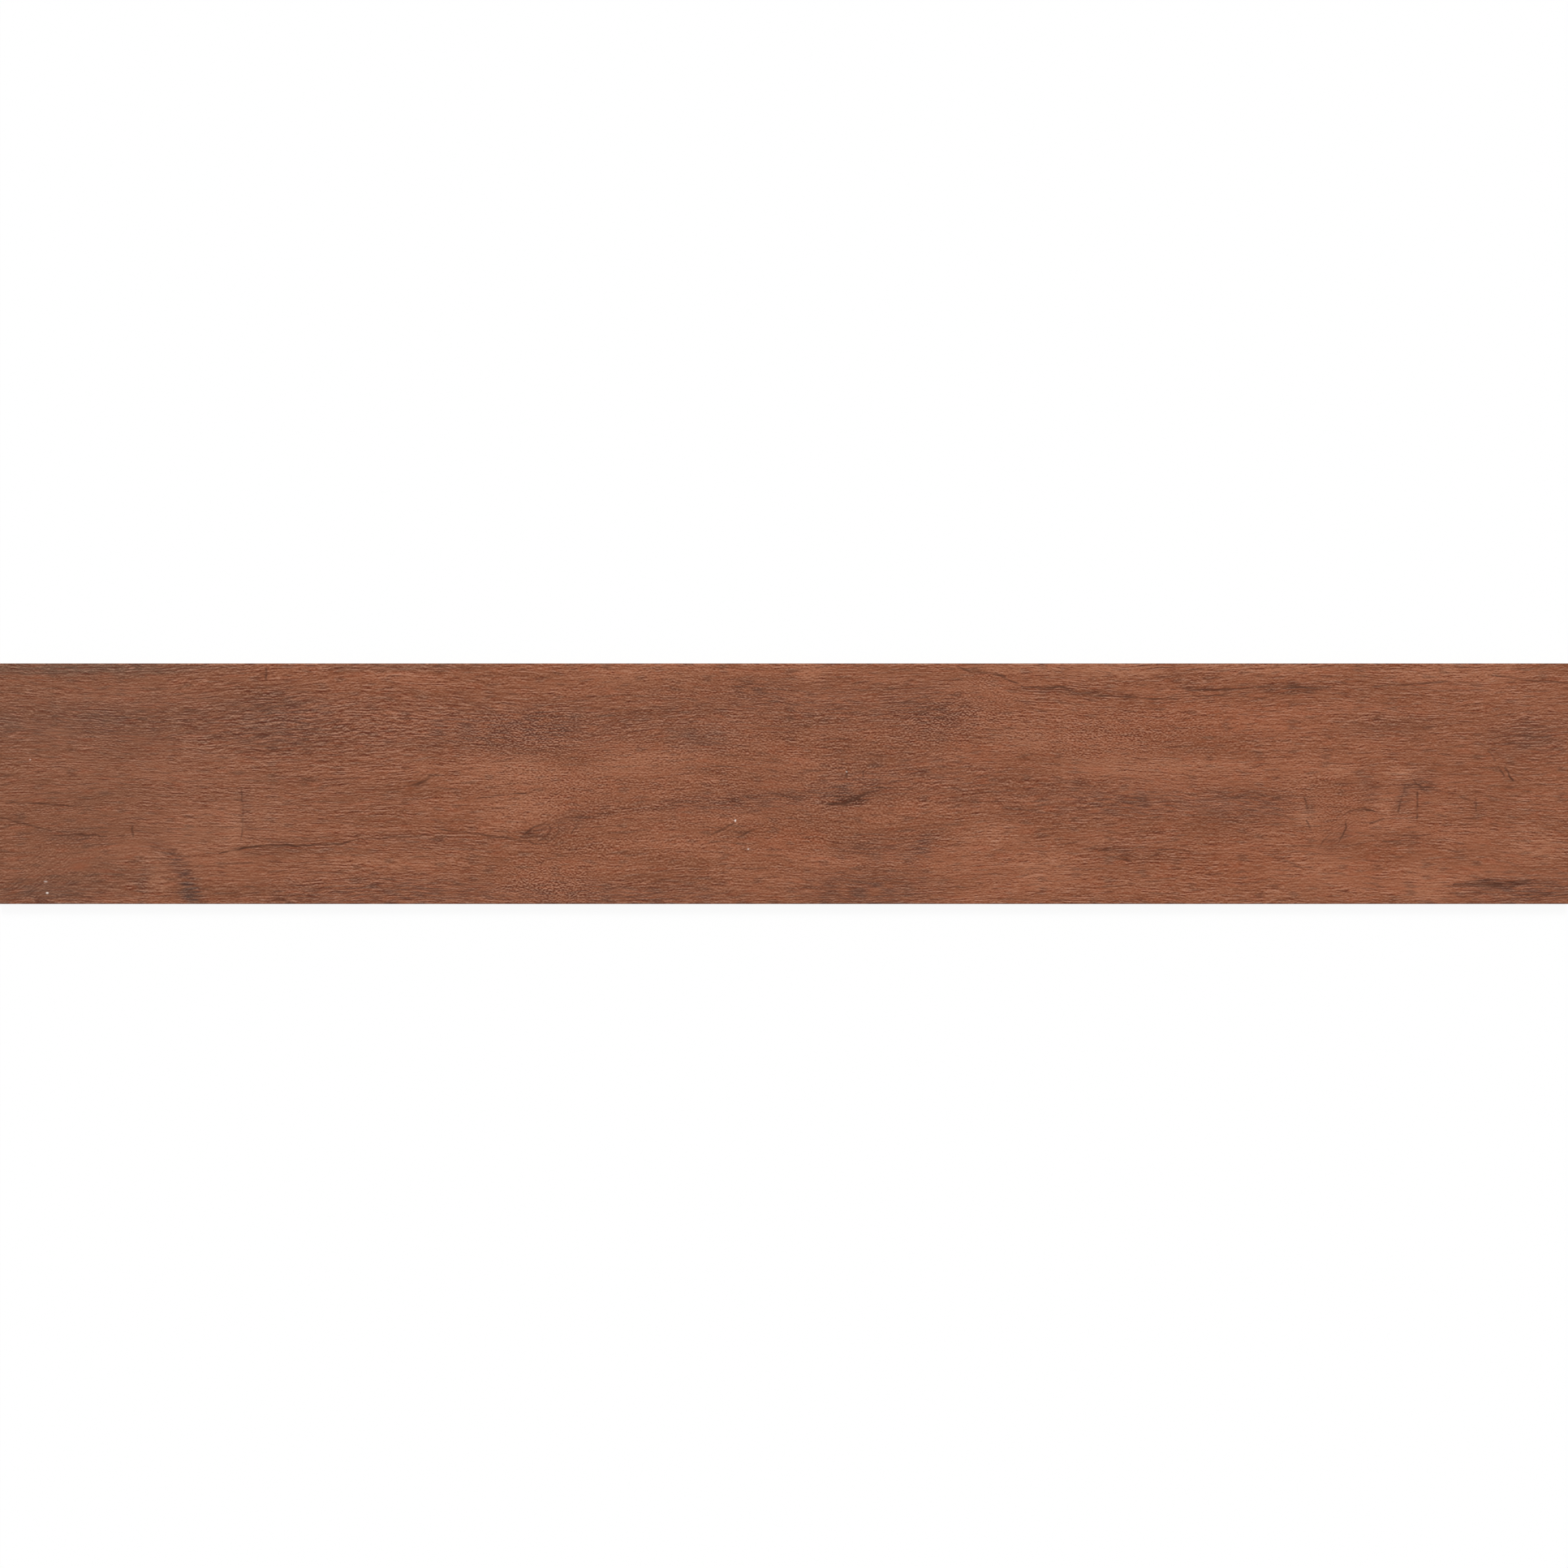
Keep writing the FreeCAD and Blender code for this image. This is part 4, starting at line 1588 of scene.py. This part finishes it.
        half_length, half_width = self.length / 2, self.width / 2
        from_left, from_right = x + half_length, half_length - x
        from_front, from_far = y + half_width, half_width - y
        across, up = from_front / self.width, z / self.thickness
        strips = (
            (glazed & ~right_half, from_left / half_length, across, self.MAP_LEFT_FACE),
            (glazed & right_half, x / half_length, across, self.MAP_RIGHT_FACE),
            (keyed, from_right / self.length, across, self.MAP_BACK),
            (ground & (facing_y > 0), from_right / self.length, up, self.MAP_FAR_EDGE),
            (ground & (facing_y < 0), from_left / self.length, up, self.MAP_FRONT_EDGE),
            (ground & (facing_x < 0), from_far / self.width, up, self.MAP_LEFT_END),
            (ground & (facing_x > 0), across, up, self.MAP_RIGHT_END),
        )
        places = np.zeros((len(mesh.loops), 2))
        for chosen, along, upward, (left, bottom, right, top) in strips:
            places[chosen, 0] = left + (right - left) * along[chosen]
            places[chosen, 1] = bottom + (top - bottom) * upward[chosen]
        layer = mesh.uv_layers.new(name="OFBake")
        layer.data.foreach_set("uv", places.ravel())


@dataclass(frozen=True)
class Studio:
    """Plain soft light, a white floor and a camera straight above the plank."""

    scale: PhotoScale
    outline_height: float
    sky_level: float = 0.6
    key_level: float = 0.4
    key_elevation_deg: float = 42.0
    key_softness_deg: float = 20.0
    floor_metres: float = 120.0
    floor_drop: float = 0.05
    overfill: float = 0.0007
    lens_mm: float = 100.0
    sensor_mm: float = 36.0

    def light(self) -> None:
        """Sets an even sky and a soft key from the plank's far side, which together light white to 1."""
        world = bpy.data.worlds.new("studio_sky")
        bpy.context.scene.world = world
        world.use_nodes = True
        sky = world.node_tree.nodes["Background"]
        sky.inputs["Color"].default_value = linear(WHITE)
        sky.inputs["Strength"].default_value = self.sky_level

        elevation = math.radians(self.key_elevation_deg)
        lamp = bpy.data.lights.new("key", "SUN")
        lamp.energy = self.key_level * math.pi / math.sin(elevation)
        lamp.angle = math.radians(self.key_softness_deg)
        key = bpy.data.objects.new("key", lamp)
        towards = Vector((0.0, math.cos(elevation), math.sin(elevation)))
        key.rotation_euler = towards.to_track_quat("Z", "Y").to_euler()
        key.location = towards
        bpy.context.scene.collection.objects.link(key)

    def lay_floor(self) -> bpy.types.Object:
        """Lays the floor just under the plank.

        Returns:
            The floor's object.
        """
        half = self.floor_metres / 2
        drop = -self.floor_drop * METRES_PER_MM
        mesh = bpy.data.meshes.new("floor")
        corners = [(-half, -half, drop), (half, -half, drop), (half, half, drop), (-half, half, drop)]
        mesh.from_pydata(corners, [], [(0, 1, 2, 3)])
        mesh.materials.append(StudioFloor().material())
        floor = bpy.data.objects.new("floor", mesh)
        bpy.context.scene.collection.objects.link(floor)
        return floor

    def place_camera(self) -> None:
        """Looks straight down, with the plank filling the picture's width and no white beside its ends."""
        data = bpy.data.cameras.new("camera")
        data.lens = self.lens_mm
        data.sensor_width = self.sensor_mm
        distance = self.scale.face_length * (1 - self.overfill) * self.lens_mm / self.sensor_mm
        below_middle_px = self.scale.side_px / 2 - self.scale.middle_px
        camera = bpy.data.objects.new("camera", data)
        camera.location = (
            0.0,
            -below_middle_px * self.scale.mm_per_px * METRES_PER_MM,
            (self.outline_height + distance) * METRES_PER_MM,
        )
        bpy.context.scene.collection.objects.link(camera)
        bpy.context.scene.camera = camera


def main() -> None:
    """Builds the plank, lights it and looks at it."""
    logging.basicConfig(level=logging.INFO, format="%(name)s: %(message)s")
    low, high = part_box(NODE_NAME)
    length, width, thickness = ((b - a) * MM_PER_METRE for a, b in zip(low, high))
    scale = PhotoScale(face_length=length, face_width=width)

    tile = PlankTile(length, width, thickness, WoodGrain(scale))
    plank = tile.build()
    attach(plank, BODY_NAME)
    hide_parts(NODE_NAME)
    log.info("%s: %d faces", plank.name, len(plank.data.polygons))

    studio = Studio(scale, outline_height=thickness - tile.bevel)
    studio.light()
    floor = studio.lay_floor()
    studio.place_camera()
    log.info("%s: %.0f m across", floor.name, studio.floor_metres)

    bpy.context.scene.view_settings.view_transform = "Standard"


if __name__ == "__main__":
    main()
